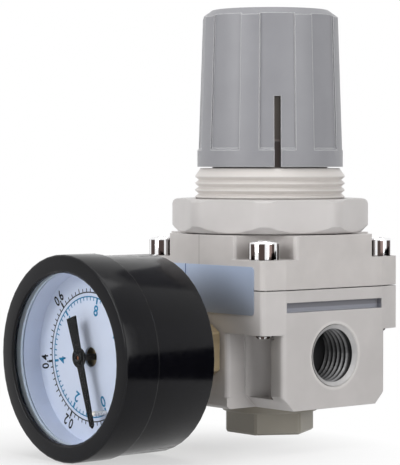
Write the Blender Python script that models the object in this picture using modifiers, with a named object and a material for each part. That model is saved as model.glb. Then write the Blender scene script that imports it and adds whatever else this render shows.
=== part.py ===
"""An air pressure regulator with a front gauge.

The scene is in metres with +Z up along the knob's axis. The two pipe ports face -X and +X, the gauge
faces -Y, and the origin is the middle of the bottom plug's foot. Sizes are in millimetres.
"""

import math

import bmesh
import bpy
from mathutils import Matrix, Vector

MM = 0.001

# Clearances
SEAT_GAP = 0.3  # between a piece and what it rests on
RUN_GAP = 0.25  # round a piece that turns or slides in another
JOINT_GAP = 0.2  # the fine line between the body and the bonnet
STICKER_GAP = 0.05
FACET_SAG = 0.05  # how far a facet may lie inside the circle it stands for

# Bottom plug
PLUG_HEX_FLATS = 17.3
PLUG_HEX_HEIGHT = 4.8
PLUG_FLANGE_RADIUS = 10.45
PLUG_FLANGE_HEIGHT = 1.8
PLUG_SHANK_RADIUS = 8.45
PLUG_SHANK_HEIGHT = 6.4
PLUG_POCKET_RADIUS = 5.8
PLUG_POCKET_DEPTH = 5.3
SEAL_WIRE = 1.5
GUIDE_DEPTH = 5.5  # of the blind hole that guides the valve's stem

# Body
BODY_WIDTH = 40.0
BODY_CORNER = 1.3
BODY_EDGE = 0.6
BASE_HEIGHT = 16.2  # from the body's bottom to the underside of its corner lobes
FLANGE_HEIGHT = 9.3
LOBE_OVERHANG = 4.9  # how far the corner lobes stand out past the ports' block
PORT_PROUD = 0.95  # how far the port faces stand out past the lobes
PORT_FACE_MARGIN = 1.0  # from the edge of the ports' block to where its face falls back to the lobes
PORT_EDGE_ROUND = 1.1
PORT_WALL = 3.7
BASE_CHAMFER = 3.1
BASE_RIM = 2.4
POCKET_BACK = 10.9  # from the middle plane to the back of each side pocket
POCKET_SWEEP_SHARE = 0.7  # of the pocket's width, rounded beside the gauge boss
POCKET_CORNER_SHARE = 0.15  # of the pocket's width, rounded beside the port's wall
BOSS_EDGE_ROUND = 1.35
GAUGE_BOSS_WIDTH = 17.5
GAUGE_BOSS_CHAMFER = 1.1
PORT_RISE = 11.2  # from the body's bottom to the ports' axis
PORT_RADIUS = 6.58  # a quarter-inch pipe thread's major radius
PORT_DEPTH = 9.8
PORT_CHAMFER = 0.35
GAUGE_RISE = 12.3
GAUGE_PORT_RADIUS = 4.9
GAUGE_PORT_DEPTH = 9.6
GROOVE_LENGTH = 28.0
GROOVE_HEIGHT = 2.1
GROOVE_DEPTH = 1.6
GROOVE_RISE = 4.65  # above the underside of the lobes

# Air way inside the body
VALVE_SEAT_RISE = 13.5  # from the body's bottom to the underside of the seat wall
SEAT_WALL = 2.4
SEAT_RADIUS = 3.8
SEAT_LIP_WIDTH = 0.9
SEAT_LIP_HEIGHT = 0.8
OUTLET_CHAMBER_RADIUS = 8.5
CLAMP_WALL = 2.7  # outside the ledge that clamps the diaphragm
CLAMP_WIDTH = 3.7
CAVITY_DEPTH = 4.5
INLET_WAY_RADIUS = 3.4
OUTLET_WAY_RADIUS = 1.7
SENSE_WAY_RADIUS = 1.0

# Diaphragm and its plates
DIAPHRAGM_THICKNESS = 1.0
DIAPHRAGM_WAVE_HEIGHT = 1.1
DIAPHRAGM_WAVE_WIDTH = 2.6
PLATE_MARGIN = 0.4  # from the plate's edge to the diaphragm's wave
PLATE_THICKNESS = 1.4
PLATE_BOSS_HEIGHT = 1.6
RELIEF_SEAT_RADIUS = 5.5
RELIEF_SEAT_HEIGHT = 1.8
RELIEF_NECK_RADIUS = 2.0
RELIEF_HOLE_RADIUS = 0.8
VALVE_LIFT = 1.0

# Valve
VALVE_DISC_THICKNESS = 1.6
VALVE_HOLDER_RADIUS = 5.6
VALVE_HOLDER_HEIGHT = 2.8
VALVE_ROD_RADIUS = 1.5
VALVE_GUIDE_RADIUS = 2.0
VALVE_GUIDE_LENGTH = 10.8
VALVE_SPRING_RADIUS = 4.5
VALVE_SPRING_WIRE = 0.8
VALVE_SPRING_TURNS = 5

# Bonnet
BONNET_BLOCK_HEIGHT = 11.3
BONNET_LOBE_HEIGHT = 6.3
BONNET_EDGE = 0.9
SCREW_POCKET_RADIUS = 6.1
SCREW_POCKET_ROUND = 0.9  # of its upright edges, where it meets the faces
NECK_RADIUS = 16.5  # a 33 mm panel thread
NECK_HEIGHT = 14.2
NECK_CHAMFER = 1.15
NECK_CHAMFER_HEIGHT = 1.7
SNAP_GROOVE_RADIUS = 12.7
SNAP_GROOVE_HEIGHT = 5.8
TOWER_RADIUS = 13.9
TOWER_CHAMFER = 1.8
TOWER_WALL = 3.4
SPRING_BORE_RADIUS = 10.6
GUIDE_SLOT_RADIUS = 11.9
GUIDE_SLOT_WIDTH = 3.6
BONNET_CAVITY_HEIGHT = 3.4
THREAD_PITCH = 1.5
THREAD_DEPTH = 0.8
THREAD_CREST = 0.2

# Bonnet screws
SCREW_INSET = 3.35  # from each face of the block
SCREW_HEAD_RADIUS = 3.2
SCREW_HEAD_HEIGHT = 3.9
SCREW_HEAD_ROUND = 0.6
SCREW_SHANK_RADIUS = 1.95
SCREW_SOCKET_FLATS = 3.0
SCREW_SOCKET_DEPTH = 2.0
SCREW_TIP = 0.8  # how far the tip stands out under the lobe

# Panel nut
NUT_WALL = 3.55  # from its bore to its flats
NUT_CORNER_TRIM = 0.37  # turned off its eight corners
NUT_HEIGHT = 7.3
NUT_CHAMFER = 1.5
NUT_TOP_ROUND = 1.1

# Knob
KNOB_HEIGHT = 34.3
KNOB_SKIRT_RADIUS = 16.05
KNOB_SKIRT_HEIGHT = 3.6
KNOB_TOP_RADIUS = 15.0
KNOB_RIM_WIDTH = 2.2
KNOB_RIM_HEIGHT = 1.6
KNOB_CAP = 3.2
KNOB_HEADROOM = 3.0  # over the hexagon that the knob drives
KNOB_WALL_ABOVE = 12.9  # inner radius above the tower
KNOB_LIFT = 2.2
KNOB_ANGLE = -35.8  # degrees about Z from +X to the middle of a slotted panel
PANEL_COUNT = 8
PANEL_SPAN = 29.0  # degrees
PANEL_DEPTH = 0.45
KNOB_SLOT_WIDTH = 1.45
KNOB_SLOT_HEIGHT = 15.2
SNAP_BEAD_RADIUS = 13.3
SNAP_BEAD_HEIGHT = 2.2
SNAP_BEAD_RISE = 0.6
SOCKET_BOSS_RADIUS = 7.4

# Adjusting screw, washer and spring nut
ADJUSTER_RADIUS = 4.0
ADJUSTER_LENGTH = 25.0
ADJUSTER_COLLAR_RADIUS = 8.0
ADJUSTER_COLLAR_HEIGHT = 2.8
ADJUSTER_JOURNAL_RADIUS = 5.0
ADJUSTER_HEX_FLATS = 8.6
ADJUSTER_HEX_HEIGHT = 7.2
WASHER_THICKNESS = 0.8
WASHER_RADIUS = 9.0
SPRING_NUT_RADIUS = 10.2
SPRING_NUT_HEIGHT = 5.0
SPRING_NUT_BOSS_HEIGHT = 1.5
SPRING_NUT_LUG_REACH = 11.5
SPRING_RADIUS = 8.9
SPRING_WIRE = 2.4
SPRING_TURNS = 7

# Label
LABEL_WIDTH = 34.4
LABEL_HEIGHT = 10.2
LABEL_THICKNESS = 0.2
LABEL_SHIFT = 0.2
LABEL_CORNER = 0.8
LABEL_BELOW_JOINT = 5.2

# Gauge shell, with distances along its own axis
GAUGE_REACH = 57.0  # from the regulator's axis to the bezel's front
BEZEL_RADIUS = 21.4
BEZEL_DEPTH = 8.3
BEZEL_RIM = 3.75  # from the bezel's outside to the edge of its opening
BEZEL_LIP = 1.1
BEZEL_ROUND = 0.5
BEZEL_WALL = 1.2
CASE_STEP = 0.5  # from the bezel's side down to the case's
CASE_DEPTH = 14.9
CASE_WALL = 1.6
CASE_BACK = 2.7
CASE_BACK_ROUND = 0.7
WINDOW_THICKNESS = 1.2
GASKET_THICKNESS = 0.5
DIAL_DEPTH = 7.9  # from the bezel's front to the dial's face
DIAL_THICKNESS = 0.5
DIAL_LEDGE = 1.2
DIAL_HOLE_RADIUS = 2.05
DIAL_RIM = 0.5  # the thickness of the dial's turned-up rim
STOP_PIN_RADIUS = 0.5
STOP_PIN_INSET = 2.7  # inside the pointer's tip

# Gauge stem
STEM_HEX_FLATS = 14.0
STEM_HEX_SHARE = 0.54  # of the way from the body to the case
STEM_HEX_TURN = 30.0
STEM_NECK_RADIUS = 5.0
STEM_THREAD_LENGTH = 8.6
STEM_BLOCK_WIDTH = 11.0
STEM_BLOCK_DEPTH = 5.0
STEM_BORE_RADIUS = 1.6

# Pressure element and movement
TUBE_MARGIN = 3.6  # from the tube's middle line to the case's inside
TUBE_THICKNESS = 1.8
TUBE_HEIGHT = 4.6
TUBE_WALL = 0.35
TUBE_TIP_ANGLE = 20.0  # degrees, from +X towards +Z
TUBE_TIP_SPAN = 9.0
TUBE_RADIUS_IN_MODULES = 46.0  # the gears' module follows from the pressure tube's radius
PINION_TEETH = 10
SECTOR_TEETH_ROUND = 60  # what a whole wheel would have
SECTOR_SWING = 44.5  # degrees from zero to full scale
SECTOR_THICKNESS = 0.8
SECTOR_PIVOT_ANGLE = -35.0
SECTOR_HUB_RADIUS = 1.5
SECTOR_ARM_SPREAD = 40.0  # degrees from the arm's middle to where it meets the hub
SECTOR_RIM_SPREAD = 8.0  # degrees from the arm's middle to where it meets the rim
SECTOR_RIM_WIDTH = 1.5
SECTOR_TAIL_SPREAD = 25.0  # degrees from the tail's middle to where it meets the hub
SECTOR_TAIL = 3.2
GEAR_BACKLASH = 0.05
ARBOR_RADIUS = 0.7
PINION_HEIGHT = 1.5
MOVEMENT_PLATE = 0.8
MOVEMENT_SPACE = 4.0
MOVEMENT_PLATE_CORNER = 2.0
PILLAR_RADIUS = 1.0
LINK_EYE_INSET = 0.34  # from the level of the tube's end down to the link's upper eye
LINK_WIDTH = 1.7
LINK_THICKNESS = 0.6
HAIRSPRING_INNER = 1.3
HAIRSPRING_OUTER = 4.0
HAIRSPRING_TURNS = 3
HAIRSPRING_WIRE = 0.26

# Pointer
POINTER_ANGLE = -72.3  # at zero pressure, from +X towards +Z
POINTER_REACH = 0.812  # of the dial's radius
POINTER_TAIL = 8.6
POINTER_HUB_RADIUS = 2.1
POINTER_THICKNESS = 0.35
POINTER_TIP_WIDTH = 1.3
POINTER_ROOT_WIDTH = 2.0
POINTER_TAIL_WIDTH = 3.0
POINTER_DEPTH = 4.7  # from the bezel's front to the pointer's face

# Levels above the foot
flange_top = PLUG_HEX_HEIGHT + PLUG_FLANGE_HEIGHT
plug_top = flange_top + PLUG_SHANK_HEIGHT
plug_pocket_floor = plug_top - PLUG_POCKET_DEPTH
body_bottom = flange_top + SEAT_GAP
lobe_bottom = body_bottom + BASE_HEIGHT
body_top = lobe_bottom + FLANGE_HEIGHT
port_level = body_bottom + PORT_RISE
gauge_level = body_bottom + GAUGE_RISE
seat_bottom = body_bottom + VALVE_SEAT_RISE
seat_top = seat_bottom + SEAT_WALL
bonnet_bottom = body_top + JOINT_GAP
clamp_floor = bonnet_bottom - DIAPHRAGM_THICKNESS - 2 * SEAT_GAP
cavity_floor = clamp_floor - CAVITY_DEPTH
diaphragm_bottom = clamp_floor + SEAT_GAP
diaphragm_top = diaphragm_bottom + DIAPHRAGM_THICKNESS
plate_bottom = diaphragm_top + SEAT_GAP
plate_top = plate_bottom + PLATE_THICKNESS
relief_top = diaphragm_bottom - SEAT_GAP
relief_bottom = relief_top - RELIEF_SEAT_HEIGHT
disc_top = seat_bottom - SEAT_LIP_HEIGHT - SEAT_GAP
disc_bottom = disc_top - VALVE_DISC_THICKNESS
holder_top = disc_bottom - SEAT_GAP
holder_bottom = holder_top - VALVE_HOLDER_HEIGHT
bonnet_lobe_top = bonnet_bottom + BONNET_LOBE_HEIGHT
block_top = bonnet_bottom + BONNET_BLOCK_HEIGHT
neck_top = block_top + NECK_HEIGHT
groove_top = neck_top + SNAP_GROOVE_HEIGHT
knob_bottom = neck_top + SEAT_GAP
knob_top = knob_bottom + KNOB_HEIGHT
knob_ceiling = knob_top - KNOB_CAP
hex_top = knob_ceiling - KNOB_HEADROOM
tower_top = hex_top - ADJUSTER_HEX_HEIGHT - SEAT_GAP
tower_ceiling = tower_top - TOWER_WALL
washer_bottom = tower_ceiling - SEAT_GAP - WASHER_THICKNESS
collar_top = washer_bottom - SEAT_GAP
collar_bottom = collar_top - ADJUSTER_COLLAR_HEIGHT
spring_nut_top = collar_bottom - SEAT_GAP
spring_nut_bottom = spring_nut_top - SPRING_NUT_HEIGHT

# Other sizes that follow
half_width = BODY_WIDTH / 2
port_reach = half_width + PORT_PROUD
block_side = half_width - LOBE_OVERHANG
boss_side = GAUGE_BOSS_WIDTH / 2
screw_place = half_width - SCREW_INSET
clamp_radius = half_width - CLAMP_WALL
cavity_radius = clamp_radius - CLAMP_WIDTH
wave_outside = cavity_radius - SEAT_GAP
wave_inside = wave_outside - DIAPHRAGM_WAVE_WIDTH
plate_radius = wave_inside - PLATE_MARGIN
spring_seat_radius = SPRING_RADIUS - SPRING_WIRE / 2 - RUN_GAP
chamber_radius = PLUG_SHANK_RADIUS + SEAT_GAP
knob_bore_radius = TOWER_RADIUS + RUN_GAP
nut_bore_radius = NECK_RADIUS + RUN_GAP
nut_flats = 2 * (nut_bore_radius + NUT_WALL)
nut_corner_radius = nut_flats / 2 / math.cos(math.pi / 8) - NUT_CORNER_TRIM

# Levels along the gauge's axis, counted from the regulator's axis towards the viewer
bezel_back = GAUGE_REACH - BEZEL_DEPTH
case_front = bezel_back - SEAT_GAP
case_back = case_front - CASE_DEPTH
case_floor = case_back + CASE_BACK
dial_face = GAUGE_REACH - DIAL_DEPTH
dial_back = dial_face - DIAL_THICKNESS
dial_ledge = dial_back - SEAT_GAP
window_front = GAUGE_REACH - BEZEL_LIP - SEAT_GAP
window_back = window_front - WINDOW_THICKNESS
gasket_back = window_back - SEAT_GAP - GASKET_THICKNESS
spigot_front = gasket_back - SEAT_GAP
case_radius = BEZEL_RADIUS - CASE_STEP
bezel_opening = BEZEL_RADIUS - BEZEL_RIM
spigot_radius = BEZEL_RADIUS - BEZEL_WALL - SEAT_GAP
case_bore = spigot_radius - CASE_WALL + SEAT_GAP
case_inside = case_bore - DIAL_LEDGE
tube_radius = case_inside - TUBE_MARGIN
gear_module = tube_radius / TUBE_RADIUS_IN_MODULES
sector_radius = gear_module * SECTOR_TEETH_ROUND / 2
pinion_radius = gear_module * PINION_TEETH / 2
dial_radius = case_bore - RUN_GAP
dial_rim = dial_radius - DIAL_RIM
pointer_length = dial_radius * POINTER_REACH
stop_pin_reach = pointer_length - STOP_PIN_INSET
pointer_face = GAUGE_REACH - POINTER_DEPTH
stem_block_back = case_floor + SEAT_GAP
stem_block_front = stem_block_back + STEM_BLOCK_DEPTH
back_plate_back = stem_block_front + SEAT_GAP
back_plate_front = back_plate_back + MOVEMENT_PLATE
front_plate_back = back_plate_front + MOVEMENT_SPACE
front_plate_front = front_plate_back + MOVEMENT_PLATE
sector_back = back_plate_front + 0.45 * MOVEMENT_SPACE
link_front = sector_back - SEAT_GAP
link_back = link_front - LINK_THICKNESS

# Rotations that lay local Z along an axis, with local X left level
LAY_ALONG = {
    "Z": Matrix.Identity(4),
    "X": Matrix(((0, 0, 1, 0), (1, 0, 0, 0), (0, 1, 0, 0), (0, 0, 0, 1))),
    "Y": Matrix(((-1, 0, 0, 0), (0, 0, 1, 0), (0, 1, 0, 0), (0, 0, 0, 1))),
}

FINISHES = {
    "ivory_metal": ((0.76, 0.73, 0.69), 0.45, 0.0),
    "ivory_plastic": ((0.80, 0.77, 0.73), 0.42, 0.0),
    "beige_plastic": ((0.52, 0.49, 0.42), 0.5, 0.0),
    "grey_plastic": ((0.39, 0.39, 0.41), 0.5, 0.0),
    "black_gloss": ((0.01, 0.01, 0.012), 0.15, 0.0),
    "black_matt": ((0.015, 0.015, 0.015), 0.5, 0.0),
    "clear_plastic": ((0.85, 0.9, 0.95), 0.05, 0.0),
    "dial_white": ((0.72, 0.76, 0.86), 0.4, 0.0),
    "chrome": ((0.8, 0.8, 0.8), 0.08, 1.0),
    "steel": ((0.5, 0.5, 0.5), 0.3, 1.0),
    "brass": ((0.72, 0.53, 0.26), 0.25, 1.0),
    "rubber": ((0.02, 0.02, 0.02), 0.8, 0.0),
    "pale_rubber": ((0.70, 0.74, 0.82), 0.6, 0.0),
    "sticker": ((0.55, 0.62, 0.74), 0.35, 0.3),
}


def clear_scene():
    for item in list(bpy.data.objects):
        bpy.data.objects.remove(item, do_unlink=True)


def new_collection(name):
    collection = bpy.data.collections.new(name)
    bpy.context.scene.collection.children.link(collection)
    return collection


def material_of(finish):
    material = bpy.data.materials.get(finish) or bpy.data.materials.new(finish)
    colour, roughness, metallic = FINISHES[finish]
    material.use_nodes = True
    shader = material.node_tree.nodes["Principled BSDF"]
    shader.inputs["Base Color"].default_value = (*colour, 1.0)
    shader.inputs["Roughness"].default_value = roughness
    shader.inputs["Metallic"].default_value = metallic
    return material


def add_object(name, data, finish=None):
    """A part where a finish is given, and otherwise a cutter that doesn't render."""
    item = bpy.data.objects.new(name, data)
    if finish:
        data.materials.append(material_of(finish))
        PARTS.objects.link(item)
    else:
        item.hide_render = True
        item.display_type = "WIRE"
        CUTTERS.objects.link(item)
    return item


def mesh_from(name, shape, finish=None):
    mesh = bpy.data.meshes.new(name)
    bmesh.ops.recalc_face_normals(shape, faces=shape.faces)
    bmesh.ops.scale(shape, vec=(MM, MM, MM), verts=shape.verts)
    shape.to_mesh(mesh)
    shape.free()
    return add_object(name, mesh, finish)


def facets(radius):
    """How many flat sides stand for a circle."""
    return max(12, 4 * math.ceil(math.pi / math.acos(1 - FACET_SAG / radius) / 4))


def turned(name, profile, finish=None):
    """A solid of revolution about Z. Its (radius, height) points run down the outer side.

    A profile that leaves the axis ends on it too. Any other is a closed ring.
    """
    steps = facets(max(radius for radius, height in profile))
    points = [(radius * MM, 0, height * MM) for radius, height in profile]
    edges = [(i, i + 1) for i in range(len(points) - 1)]
    if profile[0][0] > 0:
        edges.append((len(points) - 1, 0))
    mesh = bpy.data.meshes.new(name)
    mesh.from_pydata(points, edges, [])
    item = add_object(name, mesh, finish)
    turn = item.modifiers.new("turn", "SCREW")
    turn.steps = steps
    turn.render_steps = steps
    turn.use_merge_vertices = True
    turn.merge_threshold = 0.01 * MM
    return item


def arc(centre_x, centre_y, radius, start, end, count):
    """Points of an arc between two angles in degrees."""
    angles = [math.radians(start + (end - start) * i / count) for i in range(count + 1)]
    return [(centre_x + radius * math.cos(a), centre_y + radius * math.sin(a)) for a in angles]


def rounded_box_outline(low_x, low_y, high_x, high_y, corner, count=4):
    outline = arc(high_x - corner, high_y - corner, corner, 0, 90, count)
    outline += arc(low_x + corner, high_y - corner, corner, 90, 180, count)
    outline += arc(low_x + corner, low_y + corner, corner, 180, 270, count)
    outline += arc(high_x - corner, low_y + corner, corner, 270, 360, count)
    return outline


def polygon_outline(flats, sides, turn=0.0):
    radius = flats / 2 / math.cos(math.pi / sides)
    return arc(0, 0, radius, turn, turn + 360 - 360 / sides, sides - 1)


def flat_piece(name, outlines, low, high, finish=None, along="Z"):
    """Flat outlines filled, inner ones left open, and extruded from low to high along an axis."""
    curve = bpy.data.curves.new(name, "CURVE")
    curve.dimensions = "2D"
    curve.fill_mode = "BOTH"
    curve.extrude = MM
    for outline in outlines:
        spline = curve.splines.new("POLY")
        spline.points.add(len(outline) - 1)
        for point, (x, y) in zip(spline.points, outline):
            point.co = (x * MM, y * MM, 0, 1)
        spline.use_cyclic_u = True
    guide = add_object(name + "_outline", curve)
    mesh = settled_mesh(guide)
    bpy.data.objects.remove(guide, do_unlink=True)
    shape = bmesh.new()
    shape.from_mesh(mesh)
    for vertex in shape.verts:
        vertex.co.z = (high if vertex.co.z > 0 else low) * MM
    bmesh.ops.remove_doubles(shape, verts=shape.verts, dist=0.0001 * MM)
    bmesh.ops.recalc_face_normals(shape, faces=shape.faces)
    bmesh.ops.transform(shape, matrix=LAY_ALONG[along], verts=shape.verts)
    shape.to_mesh(mesh)
    shape.free()
    mesh.name = name
    return add_object(name, mesh, finish)


def settled_mesh(item):
    """A real mesh of what an object's curve or modifiers make."""
    bpy.context.view_layer.update()
    graph = bpy.context.evaluated_depsgraph_get()
    return bpy.data.meshes.new_from_object(item.evaluated_get(graph))


def box(name, low, high, finish=None):
    outline = [(low[0], low[1]), (high[0], low[1]), (high[0], high[1]), (low[0], high[1])]
    return flat_piece(name, [outline], low[2], high[2], finish)


def cylinders(name, radius, low, high, centres, along="Z", finish=None):
    """Cylinders that run from low to high along an axis, at centres across it."""
    shape = bmesh.new()
    for x, y in centres:
        place = LAY_ALONG[along] @ Matrix.Translation((x, y, (low + high) / 2))
        bmesh.ops.create_cone(
            shape, cap_ends=True, segments=facets(radius), radius1=radius, radius2=radius,
            depth=high - low, matrix=place,
        )
    return mesh_from(name, shape, finish)


def swept(name, section, start, span, steps, finish=None, copies=1):
    """A (radius, height) section swept about Z through an angle, as many times as it has copies."""
    shape = bmesh.new()
    for k in range(copies):
        first = Matrix.Rotation(math.radians(start + 360 / copies * k), 4, "Z")
        face = shape.faces.new([shape.verts.new(first @ Vector((r, 0, z))) for r, z in section])
        geometry = [face] + list(face.edges) + list(face.verts)
        bmesh.ops.spin(
            shape, geom=geometry, cent=(0, 0, 0), axis=(0, 0, 1),
            angle=math.radians(span), steps=steps, use_duplicate=False,
        )
    return mesh_from(name, shape, finish)


def wire_piece(name, points, wire, finish):
    """A round wire along points, with its ends closed."""
    curve = bpy.data.curves.new(name, "CURVE")
    curve.dimensions = "3D"
    curve.bevel_depth = wire / 2 * MM
    curve.bevel_resolution = 2
    curve.use_fill_caps = True
    spline = curve.splines.new("POLY")
    spline.points.add(len(points) - 1)
    for point, place in zip(spline.points, points):
        point.co = (*(value * MM for value in place), 1)
    return add_object(name, curve, finish)


def coil(name, radius, wire, low, high, turns, finish, per_turn=12):
    """A compression spring between two seats, with a closed turn at each end."""
    closed_rise = wire + JOINT_GAP
    open_rise = (high - low - wire - 2 * closed_rise) / (turns - 2)
    points = []
    for i in range(turns * per_turn + 1):
        turn = i / per_turn
        middle = min(max(turn - 1, 0), turns - 2)
        height = low + wire / 2 + closed_rise * (turn - middle) + open_rise * middle
        angle = 2 * math.pi * turn
        points.append((radius * math.cos(angle), radius * math.sin(angle), height))
    return wire_piece(name, points, wire, finish)


def bevel(item, width, segments=2, over=50):
    """Rounds the edges whose faces meet at more than an angle in degrees."""
    edge = item.modifiers.new("rounded edges", "BEVEL")
    edge.width = width * MM
    edge.segments = segments
    edge.limit_method = "ANGLE"
    edge.angle_limit = math.radians(over)
    return item


def combine(item, other, operation):
    step = item.modifiers.new(other.name, "BOOLEAN")
    step.operation = operation
    step.object = other
    return item


def cut(item, *others):
    for other in others:
        combine(item, other, "DIFFERENCE")
    return item


def join(item, *others):
    for other in others:
        combine(item, other, "UNION")
    return item


def corners(reach):
    return [(x * reach, y * reach) for x in (-1, 1) for y in (-1, 1)]


def on_gauge(*items):
    """Hangs items on the gauge's axis, whose local Z points at the viewer."""
    for item in items:
        item.parent = GAUGE_AXIS
    return items[0]


def at_angle(radius, angle):
    return radius * math.cos(math.radians(angle)), radius * math.sin(math.radians(angle))


def mirrored(item, across_x=True):
    """Repeats a cutter on the far side of the middle planes."""
    mirror = item.modifiers.new("mirror", "MIRROR")
    mirror.use_axis = (across_x, True, False)
    mirror.use_mirror_merge = False
    return item


def base_cutters():
    """What is cut from the block under its corner lobes, which leaves the ports' block and the bosses."""
    side, boss = block_side, boss_side
    low, beyond = body_bottom - 1, port_reach + 1
    outline = [(side - BASE_CHAMFER - 1, low), (side, low + 1 + BASE_CHAMFER), (side, lobe_bottom)]
    outline += [(beyond, lobe_bottom), (beyond, low)]
    corner = flat_piece("corner", [outline], boss, beyond, along="X")
    rim = body_bottom + BASE_RIM
    end = port_reach - PORT_WALL
    sweep = (end - boss) * POCKET_SWEEP_SHARE
    corner_radius = (end - boss) * POCKET_CORNER_SHARE
    outline = [(end, beyond), (boss - BOSS_EDGE_ROUND, beyond)]
    outline += arc(boss - BOSS_EDGE_ROUND, half_width - BOSS_EDGE_ROUND, BOSS_EDGE_ROUND, 90, 0, 4)
    outline += arc(boss + sweep, POCKET_BACK + sweep, sweep, 180, 270, 6)
    outline += arc(end - corner_radius, POCKET_BACK + corner_radius, corner_radius, 270, 360, 2)
    pocket = flat_piece("side_pocket", [outline], rim, lobe_bottom)
    round_start = port_reach - PORT_EDGE_ROUND
    outline = arc(round_start, side - PORT_EDGE_ROUND, PORT_EDGE_ROUND, 90, 0, 4)
    outline += [(beyond, side - PORT_EDGE_ROUND), (beyond, side + 1), (round_start, side + 1)]
    port_edge = flat_piece("port_edge", [outline], low, lobe_bottom)
    outline = [(beyond, low), (beyond, low + GAUGE_BOSS_CHAMFER + 2), (half_width - GAUGE_BOSS_CHAMFER - 1, low)]
    boss_edge = flat_piece("boss_edge", [outline], -boss - 1, boss + 1, along="X")
    return mirrored(corner), mirrored(pocket), mirrored(port_edge), mirrored(boss_edge, across_x=False)


def block_outline():
    """The square that body and bonnet share, whose sides fall back from the port faces to the lobes."""
    outline = []
    start = block_side - PORT_FACE_MARGIN
    centre = half_width - BODY_CORNER
    for quarter in range(4):
        x_side = 1 if quarter in (0, 3) else -1
        y_side = 1 if quarter < 2 else -1
        corner = arc(centre * x_side, centre * y_side, BODY_CORNER, 90 * quarter, 90 * quarter + 90, 4)
        crease = (port_reach * x_side, start * y_side)
        outline += [crease] + corner if quarter in (0, 2) else corner + [crease]
    return outline


def make_body():
    body = flat_piece("body", [block_outline()], body_bottom, body_top, "ivory_metal")
    cut(body, *base_cutters())
    bevel(body, BODY_EDGE, over=40)
    cut(body, turned("air_way", [
        (0, body_top + 1), (clamp_radius, body_top + 1),
        (clamp_radius, clamp_floor), (cavity_radius, clamp_floor),
        (cavity_radius, cavity_floor), (OUTLET_CHAMBER_RADIUS, cavity_floor),
        (OUTLET_CHAMBER_RADIUS, seat_top), (SEAT_RADIUS, seat_top),
        (SEAT_RADIUS, seat_bottom - SEAT_LIP_HEIGHT),
        (SEAT_RADIUS + SEAT_LIP_WIDTH, seat_bottom - SEAT_LIP_HEIGHT),
        (SEAT_RADIUS + SEAT_LIP_WIDTH, seat_bottom), (chamber_radius, seat_bottom),
        (chamber_radius, body_bottom - 1), (0, body_bottom - 1),
    ]))
    for side in (-1, 1):
        cut(body, port_cutter(side), gauge_port_cutter(side), groove_cutter(side))
    inlet = -port_reach + PORT_DEPTH
    cut(body, cylinders("inlet_way", INLET_WAY_RADIUS, inlet - 1, 0, [
        (0, port_level - PORT_RADIUS + INLET_WAY_RADIUS + RUN_GAP)], "X"))
    cut(body, cylinders("outlet_way", OUTLET_WAY_RADIUS, 0, -inlet + 1, [
        (0, seat_top + OUTLET_WAY_RADIUS + RUN_GAP)], "X"))
    sense = half_width - GAUGE_PORT_DEPTH + SENSE_WAY_RADIUS + SEAT_GAP
    cut(body, cylinders("sense_ways", SENSE_WAY_RADIUS, gauge_level, cavity_floor + 1, [
        (0, -sense), (0, sense)]))
    cut(body, cylinders("screw_ways", SCREW_SHANK_RADIUS + RUN_GAP, lobe_bottom - 1, body_top + 1,
                        corners(screw_place)))
    return body


def lay_along(item, along, side):
    """Turns a cutter from its own Z to the axis of a port on one side of the body."""
    turns = {"X": (0, 90 * side, 0), "Y": (-90 * side, 0, 0)}
    item.rotation_euler = [math.radians(angle) for angle in turns[along]]
    return item


def port_cutter(side):
    """A pipe port: the thread's major bore, chamfered at its mouth and coned at its end."""
    inner = port_reach - PORT_DEPTH
    mouth = PORT_RADIUS + PORT_CHAMFER
    port = turned("port", [
        (0, port_reach + 1), (mouth + 1, port_reach + 1), (PORT_RADIUS, port_reach - PORT_CHAMFER),
        (PORT_RADIUS, inner), (0, inner),
    ])
    port.location.z = port_level * MM
    return lay_along(port, "X", side)


def gauge_port_cutter(side):
    inner = half_width - GAUGE_PORT_DEPTH
    port = turned("gauge_port", [
        (0, half_width + 1), (GAUGE_PORT_RADIUS, half_width + 1), (GAUGE_PORT_RADIUS, inner), (0, inner),
    ])
    port.location.z = gauge_level * MM
    return lay_along(port, "Y", side)


def groove_cutter(side):
    """The shallow straight groove over a port, where a bracket's tongue slides in."""
    low, high = sorted((side * (port_reach - GROOVE_DEPTH), side * (port_reach + 1)))
    level = lobe_bottom + GROOVE_RISE
    reach = GROOVE_LENGTH / 2
    return box("groove", (low, -reach, level), (high, reach, level + GROOVE_HEIGHT))


def neck_thread():
    """The panel thread, as ring grooves from the neck's chamfer down to its root."""
    profile = []
    level = neck_top - NECK_CHAMFER_HEIGHT
    half_groove = (THREAD_PITCH - THREAD_CREST) / 2
    for _ in range(int((NECK_HEIGHT - NECK_CHAMFER_HEIGHT - THREAD_PITCH / 2) / THREAD_PITCH)):
        crest_end = level - THREAD_CREST
        profile += [(NECK_RADIUS, level), (NECK_RADIUS, crest_end)]
        profile.append((NECK_RADIUS - THREAD_DEPTH, crest_end - half_groove))
        level -= THREAD_PITCH
    return profile + [(NECK_RADIUS, level)]


def screw_pocket_outline():
    """A round pocket in a corner of the bonnet, with its upright edges rounded off."""
    edge = SCREW_POCKET_ROUND
    reach = SCREW_POCKET_RADIUS + edge
    x_offset = port_reach - edge - screw_place
    y_offset = half_width - edge - screw_place
    x_start = screw_place - math.sqrt(reach ** 2 - y_offset ** 2)
    y_start = screw_place - math.sqrt(reach ** 2 - x_offset ** 2)
    x_turn = math.degrees(math.atan2(screw_place - y_start, -x_offset))
    y_turn = math.degrees(math.atan2(-y_offset, screw_place - x_start))
    beyond = port_reach + 1
    outline = arc(screw_place + x_offset, y_start, edge, 0, x_turn, 3)
    outline += arc(screw_place, screw_place, SCREW_POCKET_RADIUS, x_turn - 180, y_turn - 180, 10)[1:]
    outline += arc(x_start, screw_place + y_offset, edge, y_turn, 90, 3)[1:]
    return outline + [(x_start, beyond), (beyond, beyond), (beyond, y_start)]


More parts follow.
